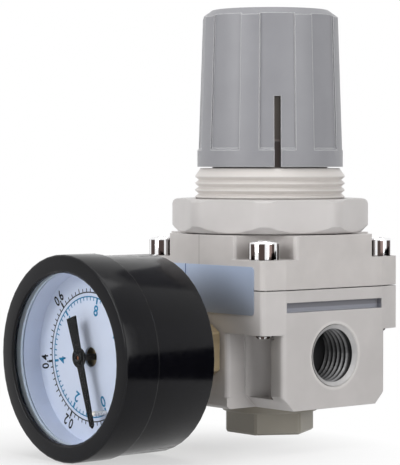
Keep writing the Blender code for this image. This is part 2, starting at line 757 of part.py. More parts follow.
def make_bonnet():
    bonnet = flat_piece("bonnet", [block_outline()], bonnet_bottom, block_top, "ivory_plastic")
    bevel(bonnet, BONNET_EDGE)
    inside = block_top - BONNET_EDGE * 2
    join(bonnet, turned("neck_and_tower", [
        (0, tower_top), (TOWER_RADIUS - TOWER_CHAMFER, tower_top),
        (TOWER_RADIUS, tower_top - TOWER_CHAMFER), (TOWER_RADIUS, groove_top),
        (SNAP_GROOVE_RADIUS, groove_top), (SNAP_GROOVE_RADIUS, neck_top),
        (NECK_RADIUS - NECK_CHAMFER, neck_top)] + neck_thread() + [
        (NECK_RADIUS, inside), (0, inside),
    ]))
    cut(bonnet, mirrored(flat_piece("screw_pockets", [screw_pocket_outline()], bonnet_lobe_top,
                                    block_top + 1)))
    cut(bonnet, cylinders("bonnet_screw_ways", SCREW_SHANK_RADIUS + RUN_GAP, bonnet_bottom - 1,
                          bonnet_lobe_top + 1, corners(screw_place)))
    cavity_top = bonnet_bottom + BONNET_CAVITY_HEIGHT
    narrowing = cavity_radius - SPRING_BORE_RADIUS
    cut(bonnet, turned("spring_bore", [
        (0, tower_top + 1), (ADJUSTER_JOURNAL_RADIUS + RUN_GAP, tower_top + 1),
        (ADJUSTER_JOURNAL_RADIUS + RUN_GAP, tower_ceiling), (SPRING_BORE_RADIUS, tower_ceiling),
        (SPRING_BORE_RADIUS, cavity_top + narrowing), (cavity_radius, cavity_top),
        (cavity_radius, bonnet_bottom - 1), (0, bonnet_bottom - 1),
    ]))
    side = GUIDE_SLOT_WIDTH / 2
    cut(bonnet, box("guide_slots", (-GUIDE_SLOT_RADIUS, -side, block_top),
                    (GUIDE_SLOT_RADIUS, side, tower_ceiling - RUN_GAP)))
    return bonnet


def make_screws():
    """Four socket-head screws that share one mesh, one in each corner."""
    head_bottom = bonnet_lobe_top + STICKER_GAP
    head_top = head_bottom + SCREW_HEAD_HEIGHT
    edge = arc(SCREW_HEAD_RADIUS - SCREW_HEAD_ROUND, head_top - SCREW_HEAD_ROUND,
               SCREW_HEAD_ROUND, 90, 0, 3)
    profile = [(0, head_top)] + edge + [
        (SCREW_HEAD_RADIUS, head_bottom), (SCREW_SHANK_RADIUS, head_bottom),
        (SCREW_SHANK_RADIUS, lobe_bottom - SCREW_TIP + 0.4),
        (SCREW_SHANK_RADIUS - 0.4, lobe_bottom - SCREW_TIP), (0, lobe_bottom - SCREW_TIP),
    ]
    screw = turned("bonnet_screw_1", profile, "chrome")
    socket = flat_piece("screw_socket", [polygon_outline(SCREW_SOCKET_FLATS, 6)],
                        head_top - SCREW_SOCKET_DEPTH, head_top + 1)
    cut(screw, socket)
    screw_mesh = settled_mesh(screw)
    screw.modifiers.clear()
    screw.data = screw_mesh
    for number, (x, y) in enumerate(corners(screw_place), start=1):
        item = screw if number == 1 else bpy.data.objects.new(f"bonnet_screw_{number}", screw_mesh)
        item.location = (x * MM, y * MM, 0)
        if number > 1:
            PARTS.objects.link(item)


def make_plug():
    plug = turned("bottom_plug", [
        (0, plug_top), (PLUG_SHANK_RADIUS, plug_top),
        (PLUG_SHANK_RADIUS, plug_top - SEAL_WIRE / 2),
        (PLUG_SHANK_RADIUS - SEAL_WIRE, plug_top - SEAL_WIRE / 2),
        (PLUG_SHANK_RADIUS - SEAL_WIRE, plug_top - SEAL_WIRE * 2),
        (PLUG_SHANK_RADIUS, plug_top - SEAL_WIRE * 2), (PLUG_SHANK_RADIUS, flange_top),
        (PLUG_FLANGE_RADIUS, flange_top), (PLUG_FLANGE_RADIUS, PLUG_HEX_HEIGHT), (0, PLUG_HEX_HEIGHT),
    ], "beige_plastic")
    hexagon = flat_piece("plug_hexagon", [polygon_outline(PLUG_HEX_FLATS, 6)],
                         0, PLUG_HEX_HEIGHT + PLUG_FLANGE_HEIGHT / 2)
    join(plug, bevel(hexagon, PLUG_FLANGE_HEIGHT / 4, segments=1))
    pocket_radius = VALVE_GUIDE_RADIUS + RUN_GAP
    cut(plug, turned("plug_pocket", [
        (0, plug_top + 1), (PLUG_POCKET_RADIUS, plug_top + 1), (PLUG_POCKET_RADIUS, plug_pocket_floor),
        (pocket_radius, plug_pocket_floor), (pocket_radius, plug_pocket_floor - GUIDE_DEPTH),
        (0, plug_pocket_floor - GUIDE_DEPTH),
    ]))
    return plug


def make_seal():
    """The round seal that fills the plug's groove without touching its walls."""
    wire = SEAL_WIRE - SEAT_GAP / 2
    middle = PLUG_SHANK_RADIUS - SEAL_WIRE + wire / 2 + STICKER_GAP * 2
    level = plug_top - SEAL_WIRE * 1.25
    profile = arc(middle, level, wire / 2, 90, -225, 7)
    return turned("plug_seal", profile, "rubber")


def make_valve():
    tip = relief_bottom - SEAT_GAP
    rod, guide = VALVE_ROD_RADIUS, VALVE_GUIDE_RADIUS
    turned("valve_stem", [
        (0, tip), (rod * 0.6, tip - rod * 0.2), (rod, tip - rod), (rod, holder_top),
        (VALVE_HOLDER_RADIUS, holder_top), (VALVE_HOLDER_RADIUS, holder_bottom + rod),
        (VALVE_HOLDER_RADIUS - rod, holder_bottom), (guide, holder_bottom),
        (guide, holder_bottom - VALVE_GUIDE_LENGTH), (0, holder_bottom - VALVE_GUIDE_LENGTH),
    ], "brass")
    hole = rod + SEAT_GAP
    edge = VALVE_HOLDER_RADIUS - SEAT_GAP
    turned("valve_disc", [(hole, disc_top), (edge, disc_top), (edge, disc_bottom), (hole, disc_bottom)],
           "rubber")
    coil("valve_spring", VALVE_SPRING_RADIUS, VALVE_SPRING_WIRE, plug_pocket_floor + SEAT_GAP,
         holder_bottom - SEAT_GAP, VALVE_SPRING_TURNS, "steel", per_turn=10)


def make_diaphragm():
    """A rubber disc with one raised wave between its plates and its clamped edge."""
    wave_in, wave_out, edge = wave_inside, wave_outside, clamp_radius - SEAT_GAP
    low, high, rise = diaphragm_bottom, diaphragm_top, DIAPHRAGM_WAVE_HEIGHT
    hole = RELIEF_NECK_RADIUS + SEAT_GAP
    inner_rise = wave_in + DIAPHRAGM_WAVE_WIDTH * 0.35
    outer_rise = wave_in + DIAPHRAGM_WAVE_WIDTH * 0.65
    turned("diaphragm", [
        (hole, high), (wave_in, high), (inner_rise, high + rise), (outer_rise, high + rise),
        (wave_out, high), (edge, high), (edge, low), (wave_out - rise / 2, low),
        (outer_rise, low + rise / 2), (inner_rise, low + rise / 2), (wave_in + rise / 2, low), (hole, low),
    ], "rubber")
    neck, boss = RELIEF_NECK_RADIUS, spring_seat_radius
    boss_top = plate_top + PLATE_BOSS_HEIGHT
    turned("diaphragm_plate", [
        (neck + SEAT_GAP, boss_top), (boss, boss_top), (boss, plate_top), (plate_radius, plate_top),
        (plate_radius, plate_bottom), (neck + SEAT_GAP, plate_bottom),
    ], "steel")
    turned("relief_seat", [
        (RELIEF_HOLE_RADIUS, boss_top), (neck, boss_top), (neck, relief_top),
        (RELIEF_SEAT_RADIUS, relief_top), (RELIEF_SEAT_RADIUS, relief_bottom),
        (RELIEF_HOLE_RADIUS, relief_bottom),
    ], "brass")


def make_adjuster():
    """The screw that the knob turns, its thrust washer, and the nut that it moves along the spring."""
    spindle = turned("adjusting_screw", [
        (0, tower_top), (ADJUSTER_JOURNAL_RADIUS, tower_top),
        (ADJUSTER_JOURNAL_RADIUS, collar_top), (ADJUSTER_COLLAR_RADIUS, collar_top),
        (ADJUSTER_COLLAR_RADIUS, collar_bottom), (ADJUSTER_RADIUS, collar_bottom),
        (ADJUSTER_RADIUS, collar_bottom - ADJUSTER_LENGTH + 1),
        (ADJUSTER_RADIUS - 1, collar_bottom - ADJUSTER_LENGTH), (0, collar_bottom - ADJUSTER_LENGTH),
    ], "steel")
    join(spindle, flat_piece("drive_hexagon", [polygon_outline(ADJUSTER_HEX_FLATS, 6)],
                             tower_top - 1, hex_top))
    inner = ADJUSTER_JOURNAL_RADIUS + RUN_GAP
    turned("thrust_washer", [
        (inner, washer_bottom + WASHER_THICKNESS), (WASHER_RADIUS, washer_bottom + WASHER_THICKNESS),
        (WASHER_RADIUS, washer_bottom), (inner, washer_bottom),
    ], "brass")
    hole = ADJUSTER_RADIUS + RUN_GAP
    boss = spring_seat_radius
    low = spring_nut_bottom
    nut = turned("spring_nut", [
        (hole, spring_nut_top), (SPRING_NUT_RADIUS, spring_nut_top), (SPRING_NUT_RADIUS, low),
        (boss, low), (boss, low - SPRING_NUT_BOSS_HEIGHT), (hole, low - SPRING_NUT_BOSS_HEIGHT),
    ], "brass")
    side = GUIDE_SLOT_WIDTH / 2 - RUN_GAP
    high = spring_nut_top - SEAT_GAP
    for x_side in (-1, 1):
        inner_x, outer_x = sorted((x_side * boss, x_side * SPRING_NUT_LUG_REACH))
        join(nut, box("nut_lug", (inner_x, -side, low + SEAT_GAP), (outer_x, side, high)))
    coil("adjusting_spring", SPRING_RADIUS, SPRING_WIRE, plate_top + SEAT_GAP,
         spring_nut_bottom - SEAT_GAP, SPRING_TURNS, "steel")


def make_panel_nut():
    """An eight-sided ring nut: a prism trimmed by a turned blank, which leaves arcs on its flats."""
    low = block_top + RUN_GAP
    high = low + NUT_HEIGHT
    edge, chamfer = nut_corner_radius, NUT_CHAMFER
    top_edge = arc(edge - NUT_TOP_ROUND, high - NUT_TOP_ROUND, NUT_TOP_ROUND, 90, 0, 3)
    nut = turned("panel_nut", [(nut_bore_radius, high)] + top_edge + [
        (edge, low + chamfer), (edge - chamfer, low), (nut_bore_radius, low),
    ], "ivory_plastic")
    prism = flat_piece("nut_prism", [polygon_outline(nut_flats, 8)], low - 1, high + 1)
    return combine(nut, prism, "INTERSECT")


def knob_radius_at(height):
    """The knob's outer radius, which narrows evenly above its skirt."""
    skirt_top = knob_bottom + KNOB_SKIRT_HEIGHT
    share = (height - skirt_top) / (knob_top - skirt_top)
    return KNOB_SKIRT_RADIUS + (KNOB_TOP_RADIUS - KNOB_SKIRT_RADIUS) * max(share, 0)


def make_knob():
    """A cup with eight recessed panels, and four slots that let its skirt snap over the tower."""
    skirt_top = knob_bottom + KNOB_SKIRT_HEIGHT
    rim = knob_top - KNOB_RIM_HEIGHT
    bead = knob_bottom + SNAP_BEAD_RISE
    shoulder = tower_top + SEAT_GAP
    bead_step = knob_bore_radius - SNAP_BEAD_RADIUS
    knob = turned("knob", [
        (0, knob_top), (KNOB_TOP_RADIUS - KNOB_RIM_WIDTH, knob_top), (knob_radius_at(rim), rim),
        (KNOB_SKIRT_RADIUS, skirt_top), (KNOB_SKIRT_RADIUS, knob_bottom), (knob_bore_radius, knob_bottom),
        (SNAP_BEAD_RADIUS, bead), (SNAP_BEAD_RADIUS, bead + SNAP_BEAD_HEIGHT - bead_step),
        (knob_bore_radius, bead + SNAP_BEAD_HEIGHT), (knob_bore_radius, shoulder),
        (KNOB_WALL_ABOVE, shoulder + bead_step), (KNOB_WALL_ABOVE, knob_ceiling),
        (SOCKET_BOSS_RADIUS, knob_ceiling), (SOCKET_BOSS_RADIUS, shoulder), (0, shoulder),
    ], "grey_plastic")
    ledge = skirt_top + PANEL_DEPTH
    beyond = KNOB_SKIRT_RADIUS + 2
    panels = swept("grip_panels", [
        (beyond, knob_top + 1), (knob_radius_at(knob_top) - PANEL_DEPTH, knob_top + 1),
        (knob_radius_at(ledge) - PANEL_DEPTH, ledge), (knob_radius_at(skirt_top), skirt_top),
        (beyond, skirt_top),
    ], KNOB_ANGLE - PANEL_SPAN / 2, PANEL_SPAN, 6, copies=PANEL_COUNT)
    cut(knob, panels)
    side = KNOB_SLOT_WIDTH / 2
    for k in range(4):
        slot = box("skirt_slot", (SNAP_BEAD_RADIUS - 1, -side, knob_bottom - 1),
                   (beyond, side, knob_bottom + KNOB_SLOT_HEIGHT))
        slot.rotation_euler.z = math.radians(KNOB_ANGLE + 90 * k)
        cut(knob, slot)
    socket = polygon_outline(ADJUSTER_HEX_FLATS + 2 * RUN_GAP, 6)
    cut(knob, flat_piece("drive_socket", [socket], shoulder - 1, knob_ceiling))
    return knob


def make_label():
    middle = LABEL_SHIFT
    low = body_top + JOINT_GAP / 2 - LABEL_BELOW_JOINT
    reach = LABEL_WIDTH / 2
    outline = rounded_box_outline(-middle - reach, low, -middle + reach, low + LABEL_HEIGHT, LABEL_CORNER, 3)
    back = -half_width - STICKER_GAP
    return flat_piece("label", [outline], back - LABEL_THICKNESS, back, "sticker", along="Y")


def make_rear_plug():
    radius = GAUGE_PORT_RADIUS - SEAT_GAP
    face = half_width - SEAT_GAP
    inner = half_width - GAUGE_PORT_DEPTH + SEAT_GAP
    plug = turned("rear_port_plug", [
        (0, face), (radius - 0.5, face), (radius, face - 0.5), (radius, inner), (0, inner)],
        "steel")
    socket = flat_piece("rear_plug_socket", [polygon_outline(GAUGE_PORT_RADIUS, 6)], face - 4, face + 1)
    for item in (plug, socket):
        item.location.z = gauge_level * MM
        lay_along(item, "Y", 1)
    return cut(plug, socket)


def make_gauge_shell():
    edge = BEZEL_RADIUS - BEZEL_ROUND
    front_edge = arc(edge, GAUGE_REACH - BEZEL_ROUND, BEZEL_ROUND, 90, 0, 3)
    inside = BEZEL_RADIUS - BEZEL_WALL
    lip_back = GAUGE_REACH - BEZEL_LIP
    on_gauge(turned("gauge_bezel", [(bezel_opening + 0.4, GAUGE_REACH)] + front_edge + [
        (BEZEL_RADIUS, bezel_back), (inside, bezel_back), (inside, lip_back), (bezel_opening, lip_back),
        (bezel_opening, GAUGE_REACH - 0.4),
    ], "black_gloss"))
    back_edge = arc(case_radius - CASE_BACK_ROUND, case_back + CASE_BACK_ROUND, CASE_BACK_ROUND, 0, -90, 3)
    hole = STEM_NECK_RADIUS + RUN_GAP
    on_gauge(turned("gauge_case", [
        (case_bore, spigot_front), (spigot_radius, spigot_front), (spigot_radius, case_front),
        (case_radius, case_front)] + back_edge + [
        (hole, case_back), (hole, case_floor), (case_inside, case_floor),
        (case_inside, dial_ledge), (case_bore, dial_ledge),
    ], "black_gloss"))
    rim = inside - SEAT_GAP
    on_gauge(turned("gauge_window", [
        (0, window_front), (rim, window_front), (rim, window_back), (0, window_back)],
        "clear_plastic"))
    gasket_front = gasket_back + GASKET_THICKNESS
    on_gauge(turned("window_gasket", [
        (dial_rim, gasket_front), (rim, gasket_front), (rim, gasket_back), (dial_rim, gasket_back)],
        "pale_rubber"))
    rim_front = gasket_back - SEAT_GAP
    dial = turned("gauge_dial", [
        (DIAL_HOLE_RADIUS, dial_face), (dial_rim, dial_face), (dial_rim, rim_front),
        (dial_radius, rim_front), (dial_radius, dial_back), (DIAL_HOLE_RADIUS, dial_back)], "dial_white")
    pin_place = at_angle(stop_pin_reach, stop_pin_angle())
    pin_hole = cylinders("stop_pin_hole", STOP_PIN_RADIUS + STICKER_GAP, dial_back - 1, dial_face + 1,
                         [pin_place])
    on_gauge(dial, pin_hole)
    cut(dial, pin_hole)
    on_gauge(cylinders("stop_pin", STOP_PIN_RADIUS, dial_back, pointer_face, [pin_place],
                       finish="brass"))


def stop_pin_angle():
    """The pin stands just past the pointer, which rests against it at zero pressure."""
    offset = POINTER_TIP_WIDTH / 2 + STOP_PIN_RADIUS + SEAT_GAP
    return POINTER_ANGLE + math.degrees(offset / stop_pin_reach)


def make_gauge_stem():
    """The brass stem: thread, hexagon, neck through the case, and the block that carries the movement."""
    thread_tip = half_width - STEM_THREAD_LENGTH
    hex_back = half_width + SEAT_GAP
    hex_front = hex_back + (case_back - hex_back) * STEM_HEX_SHARE
    radius = GAUGE_PORT_RADIUS - SEAT_GAP
    stem = turned("gauge_stem", [
        (0, stem_block_front), (STEM_NECK_RADIUS, stem_block_front), (STEM_NECK_RADIUS, hex_back + 1),
        (radius, hex_back + 1), (radius, thread_tip + 0.6), (radius - 0.6, thread_tip), (0, thread_tip),
    ], "brass")
    hexagon = flat_piece("stem_hexagon", [polygon_outline(STEM_HEX_FLATS, 6, STEM_HEX_TURN)], hex_back, hex_front)
    bevel(hexagon, SEAT_GAP, segments=1)
    half = STEM_BLOCK_WIDTH / 2
    reach = tube_radius + TUBE_THICKNESS
    block = box("stem_block", (-half, -reach, stem_block_back), (half, half, stem_block_front))
    bore = cylinders("stem_bore", STEM_BORE_RADIUS, thread_tip - 1, hex_front, [(0, 0)])
    on_gauge(stem, hexagon, block, bore)
    join(stem, hexagon, block)
    return cut(stem, bore)


def tube_section(wall):
    """The flattened section of the pressure tube, drawn in by a wall."""
    radial = TUBE_THICKNESS / 2 - wall
    half = TUBE_HEIGHT / 2 - wall - radial
    level = (stem_block_back + stem_block_front) / 2
    return (arc(tube_radius, level + half, radial, 0, 180, 3)
            + arc(tube_radius, level - half, radial, 180, 360, 3))


def make_pressure_tube():
    """A C-shaped flattened tube from the stem's block round to its free tip."""
    root_x = STEM_BLOCK_WIDTH / 2 + SEAT_GAP * 2
    root = 270 - math.degrees(math.asin(root_x / tube_radius))
    span = root - TUBE_TIP_ANGLE
    tube = swept("pressure_tube", tube_section(0), TUBE_TIP_ANGLE, span, 22, finish="brass")
    core = swept("tube_core", tube_section(TUBE_WALL), TUBE_TIP_ANGLE - 2, span + 4, 24)
    cut(tube, core)
    level = (stem_block_back + stem_block_front) / 2
    half_height = TUBE_HEIGHT / 2 + SEAT_GAP
    half_tip = TUBE_THICKNESS / 2 + SEAT_GAP
    inner, outer = tube_radius - half_tip, tube_radius + half_tip
    low, high = level - half_height, link_back - SEAT_GAP
    tip_start = TUBE_TIP_ANGLE - TUBE_TIP_SPAN - math.degrees(SEAT_GAP / tube_radius)
    tip = swept("tube_tip", [(outer, high), (inner, high), (inner, low), (outer, low)],
                tip_start, TUBE_TIP_SPAN, 2, finish="brass")
    on_gauge(tube, core, tip)


def involute_point(base, radius, half_angle_at_base, side):
    """A point of a gear flank, on one side of a tooth that points along +X."""
    reach = max(radius, base)
    roll = math.sqrt((reach / base) ** 2 - 1)
    angle = half_angle_at_base - (roll - math.atan(roll))
    return radius * math.cos(angle), side * radius * math.sin(angle)


def tooth_outline(teeth, addendum, dedendum):
    """One tooth, centred on +X, from its root on one side to its root on the other."""
    pitch = gear_module * teeth / 2
    pressure = math.radians(20)
    base = pitch * math.cos(pressure)
    half_at_pitch = math.pi / 2 / teeth - GEAR_BACKLASH / 2 / pitch
    half_at_base = half_at_pitch + math.tan(pressure) - pressure
    radii = [pitch - dedendum, max(base, pitch - dedendum / 2), pitch, pitch + addendum]
    lower = [involute_point(base, radius, half_at_base, -1) for radius in radii]
    return lower + [(x, -y) for x, y in reversed(lower)]


def turned_points(points, angle):
    c, s = math.cos(math.radians(angle)), math.sin(math.radians(angle))
    return [(x * c - y * s, x * s + y * c) for x, y in points]


def make_pointer():
    """The arbor with its pinion, and the pointer pressed on its end."""
    tooth = tooth_outline(PINION_TEETH, gear_module * 0.9, gear_module)
    pitch_angle = 360 / PINION_TEETH
    # A gap between two teeth faces the sector's pivot at rest
    first = SECTOR_PIVOT_ANGLE + pitch_angle / 2
    outline = []
    for k in range(PINION_TEETH):
        outline += turned_points(tooth, first + pitch_angle * k)
    pinion_back = sector_back - (PINION_HEIGHT - SECTOR_THICKNESS) / 2
    arbor = cylinders("pointer_arbor", ARBOR_RADIUS, back_plate_back + SEAT_GAP, pointer_face, [(0, 0)],
                      finish="brass")
    pinion = flat_piece("pinion", [outline], pinion_back, pinion_back + PINION_HEIGHT)
    on_gauge(arbor, pinion)
    join(arbor, pinion)
    half_tip, half_root, half_tail = POINTER_TIP_WIDTH / 2, POINTER_ROOT_WIDTH / 2, POINTER_TAIL_WIDTH / 2
    hub = POINTER_HUB_RADIUS
    root_angle = math.degrees(math.asin(half_root / hub))
    tail_root = half_root * 1.1
    tail_angle = math.degrees(math.asin(tail_root / hub))
    blade = [(pointer_length - half_tip, -half_tip), (pointer_length, 0), (pointer_length - half_tip, half_tip)]
    blade += arc(0, 0, hub, root_angle, 180 - tail_angle, 6)
    blade += [(-POINTER_TAIL, half_tail), (-POINTER_TAIL, -half_tail)]
    blade += arc(0, 0, hub, 180 + tail_angle, 360 - root_angle, 6)
    hole = arc(0, 0, ARBOR_RADIUS + STICKER_GAP, 0, 330, 11)
    pointer = flat_piece("pointer", [turned_points(blade, POINTER_ANGLE), hole],
                         pointer_face - POINTER_THICKNESS, pointer_face, "black_matt")
    on_gauge(pointer)


def make_sector():
    """The sector gear on its pivot, its teeth in mesh with the pinion at the end of their row."""
    pivot = at_angle(sector_radius + pinion_radius, SECTOR_PIVOT_ANGLE)
    to_pinion = SECTOR_PIVOT_ANGLE + 180
    pitch_angle = 360 / SECTOR_TEETH_ROUND
    count = math.ceil(SECTOR_SWING / pitch_angle) + 3
    tooth = tooth_outline(SECTOR_TEETH_ROUND, gear_module * 0.6, gear_module * 1.15)
    last = to_pinion + pitch_angle
    outline = []
    for k in range(count):
        outline += turned_points(tooth, last - pitch_angle * (count - 1 - k))
    root = sector_radius - gear_module * 1.15
    hub = SECTOR_HUB_RADIUS
    middle = last - pitch_angle * (count - 1) / 2
    rim = root - SECTOR_RIM_WIDTH
    half_link = LINK_WIDTH / 2
    outline += arc(0, 0, rim, last, middle + SECTOR_RIM_SPREAD, 3)
    outline += arc(0, 0, hub, middle + SECTOR_ARM_SPREAD, 360 - SECTOR_TAIL_SPREAD, 5)
    outline += [(SECTOR_TAIL + half_link, -half_link), (SECTOR_TAIL + half_link, half_link)]
    outline += arc(0, 0, hub, 360 + SECTOR_TAIL_SPREAD, 360 + middle - SECTOR_ARM_SPREAD, 2)
    outline += arc(0, 0, rim, middle - SECTOR_RIM_SPREAD, last - pitch_angle * (count - 1), 3)
    sector = flat_piece("sector_gear", [outline], sector_back, sector_back + SECTOR_THICKNESS, "brass")
    staff = cylinders("sector_staff", ARBOR_RADIUS, back_plate_back + SEAT_GAP,
                      front_plate_front - SEAT_GAP, [(0, 0)])
    pin = cylinders("link_pin", ARBOR_RADIUS / 2, link_back - RUN_GAP, sector_back + RUN_GAP,
                    [(SECTOR_TAIL, 0)])
    for item in (sector, staff, pin):
        on_gauge(item)
        item.location = (pivot[0] * MM, pivot[1] * MM, 0)
    join(sector, staff, pin)
    return pivot


def make_link(pivot):
    """The link from the sector's tail to the tube's tip, free at its upper end."""
    side = LINK_WIDTH / 2
    length = at_angle(tube_radius, TUBE_TIP_ANGLE)[1] - LINK_EYE_INSET - pivot[1]
    outline = arc(0, 0, side, 180, 360, 6) + arc(0, length, side, 0, 180, 6)
    holes = [arc(0, 0, ARBOR_RADIUS / 2 + RUN_GAP / 2, 0, 324, 9), arc(0, length, side / 2, 0, 324, 9)]
    link = flat_piece("link", [outline] + holes, link_back, link_front, "brass")
    on_gauge(link)
    link.location = ((pivot[0] + SECTOR_TAIL) * MM, pivot[1] * MM, 0)


def make_movement_plates(pivot):
    left, right = -pivot[0] + 1, pivot[0] + 1.8
    low, high = pivot[1] - 2.4, -pivot[1] + 0.6
    plate = rounded_box_outline(left, low, right, high, MOVEMENT_PLATE_CORNER)
    hole = arc(0, 0, ARBOR_RADIUS + RUN_GAP, 0, 330, 11)
    pivot_hole = [(x + pivot[0], y + pivot[1]) for x, y in hole]
    inset = PILLAR_RADIUS * 2
    pillars = [(left + inset, low + inset), (left + inset, high - inset)]
    back = flat_piece("movement_back_plate", [plate, hole, pivot_hole], back_plate_back,
                      back_plate_front, "brass")
    front = flat_piece("movement_front_plate", [plate, hole, pivot_hole], front_plate_back,
                       front_plate_front, "brass")
    posts = cylinders("pillars", PILLAR_RADIUS, back_plate_front - RUN_GAP, front_plate_back - SEAT_GAP,
                      pillars)
    on_gauge(back, front, posts)
    join(back, posts)


def make_hairspring():
    """A flat spiral between the pinion and the front plate."""
    level = (sector_back + (PINION_HEIGHT + SECTOR_THICKNESS) / 2 + front_plate_back) / 2
    count = HAIRSPRING_TURNS * 12
    points = []
    for i in range(count + 1):
        radius = HAIRSPRING_INNER + (HAIRSPRING_OUTER - HAIRSPRING_INNER) * i / count
        points.append((*at_angle(radius, 30 * i), level))
    on_gauge(wire_piece("hairspring", points, HAIRSPRING_WIRE, "steel"))


def shade():
    """Smooth shading with crisp edges, on every part that is a mesh by now."""
    for item in PARTS.objects:
        if item.type != "MESH":
            continue
        if item.modifiers:
            mesh = settled_mesh(item)
            item.modifiers.clear()
            item.data = mesh
        item.data.shade_smooth()
        item.data.set_sharp_from_angle(angle=math.radians(35))


clear_scene()
PARTS = new_collection("air_pressure_regulator")
CUTTERS = new_collection("cutters")
GAUGE_AXIS = bpy.data.objects.new("gauge_axis", None)
GAUGE_AXIS.location.z = gauge_level * MM
GAUGE_AXIS.rotation_euler.x = math.radians(90)
PARTS.objects.link(GAUGE_AXIS)
make_body()
make_bonnet()
make_screws()
make_plug()
make_seal()
make_valve()
make_diaphragm()
make_adjuster()
make_panel_nut()
make_knob()
make_label()
make_rear_plug()
make_gauge_shell()
make_gauge_stem()
make_pressure_tube()
make_pointer()
sector_pivot = make_sector()
make_link(sector_pivot)
make_movement_plates(sector_pivot)
make_hairspring()
shade()
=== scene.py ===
"""Looks, light and camera for an air pressure regulator with a gauge.

Sizes are in millimetres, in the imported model's frame, and MM turns them into metres.
"""

import math

import bmesh
import bpy
from mathutils import Matrix, Vector


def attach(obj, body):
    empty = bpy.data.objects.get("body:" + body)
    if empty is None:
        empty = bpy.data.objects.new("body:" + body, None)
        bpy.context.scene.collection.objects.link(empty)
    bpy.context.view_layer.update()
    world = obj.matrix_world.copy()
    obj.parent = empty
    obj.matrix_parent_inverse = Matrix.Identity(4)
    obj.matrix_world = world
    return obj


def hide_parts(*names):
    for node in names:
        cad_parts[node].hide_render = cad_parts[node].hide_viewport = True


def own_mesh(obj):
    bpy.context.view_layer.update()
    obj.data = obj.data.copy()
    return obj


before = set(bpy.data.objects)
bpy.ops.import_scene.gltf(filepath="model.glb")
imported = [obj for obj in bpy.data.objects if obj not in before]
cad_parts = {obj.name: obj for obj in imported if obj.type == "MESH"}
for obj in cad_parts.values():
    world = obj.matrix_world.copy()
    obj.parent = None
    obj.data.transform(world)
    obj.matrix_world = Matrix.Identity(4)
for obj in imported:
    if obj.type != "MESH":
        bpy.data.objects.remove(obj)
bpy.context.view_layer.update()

MM = 0.001

# Camera
CAMERA_AZIMUTH = 48.1
CAMERA_DISTANCE = 483.5
CAMERA_HEIGHT = 60.0
CAMERA_TURN = 1.83
CAMERA_DIP = 1.91
LENS_LENGTH = 169.43

# Places taken from the model
GAUGE_LEVEL = 19.2
DIAL_FACE = 49.1
POINTER_FACE = 52.3
PORT_LEVEL = 18.1
PORT_FACE = 20.95
LOBE_FACE = 20.0
GROOVE_END = 14.0
GROOVE_LEVEL = 28.8
NECK_TOP = 58.1
SCREW_PLACE = 16.65
FLOOR_LEVEL = -2.3  # just under the gauge's rim, the lowest point

# Dial print
SCALE_START = 295.4  # degrees, from straight right, turning up
SCALE_SWEEP = 270.0
SCALE_STEPS = 50
BLACK_CIRCLE = 13.4
BLUE_CIRCLE = 12.5
PRINT_LIFT = 0.03
LINE_WIDTH = 0.24
LONG_TICK_WIDTH = 0.48
TICK_SHORT = 0.8
TICK_MEDIUM = 1.05
TICK_LONG = 1.3
BLACK_NUMBER_RADIUS = 15.85
BLUE_NUMBER_RADIUS = 9.7
BLACK_NUMBER_SIZE = 3.25
BLUE_NUMBER_SIZE = 3.2
BLACK_SQUEEZE = 0.78
BLUE_SQUEEZE = 0.95
NUMBER_WEIGHT = 0.02
NUMBERS = 6

# Port threads
THREAD_PITCH = 1.337
THREAD_ROOT = 6.62
THREAD_CREST = 5.75
THREAD_FLANK = 0.45  # half the ridge's foot, as a share of the pitch
THREAD_START = 0.7
THREAD_TURNS = 6.3
THREAD_STEPS = 36
MOUTH_RADIUS = 6.6
MOUTH_DEPTH = 0.75
MOUTH_DEPTH_BEHIND = 0.55
MOUTH_STEPS = 48

# Pointer hub
HUB_INSIDE = 0.42
HUB_RADIUS = 1.4
HUB_HEIGHT = 0.32
HUB_STEPS = 32

# Colours
IVORY = (0.59, 0.56, 0.545)
IVORY_BODY = (0.565, 0.54, 0.53)
NUT_GREY = (0.59, 0.565, 0.555)
KNOB_GREY = (0.285, 0.285, 0.305)
PLUG_BEIGE = (0.34, 0.315, 0.265)
# painted shade for closed corners
CORNER_SHADE_BROWN = (0.09, 0.075, 0.06)
CORNER_REACH = 9.0
# painted light on the bonnet's neck
NECK_PAINTED_LIGHT = (0.80, 0.76, 0.72)
# painted shade on the tower under the knob, brown below and darker above
TOWER_SHADE_BROWN = (0.22, 0.175, 0.16)
TOWER_SHADE_DARK = (0.11, 0.09, 0.075)
MOULD_LINE_TONE = (0.33, 0.31, 0.29)
# painted shade in the port threads' roots and depth
THREAD_ROOT_SHADE = (0.012, 0.012, 0.013)
# painted highlight on the ring round each port's mouth
PORT_RING_HIGHLIGHT = (0.85, 0.83, 0.80)
# painted shade inside each port's bore
PORT_BORE_SHADE = (0.03, 0.03, 0.032)
# painted shade deep in the pockets under the lobes
POCKET_SHADE = (0.12, 0.115, 0.10)
# painted reflection of the brass gauge stem on the body's front
STEM_REFLECTION_BROWN = (0.33, 0.25, 0.17)
# lit and painted-shade tones of the groove's bare metal
GROOVE_LIT_METAL = (0.36, 0.37, 0.42)
GROOVE_SHADED_METAL = (0.24, 0.24, 0.265)
# painted shade on the arbor behind the pointer
ARBOR_SHADE = (0.03, 0.025, 0.02)
LABEL_GREY = (0.33, 0.37, 0.45)
LABEL_RULE = (0.01, 0.06, 0.22)
# painted reflection bands on the chrome screw heads
REFLECTION_BAND_DARK = (0.075, 0.055, 0.05)
WHITE = (1.0, 1.0, 1.0)
WINDOW_TINT = (0.97, 0.985, 1.0)
WINDOW_GLOSS = 0.003

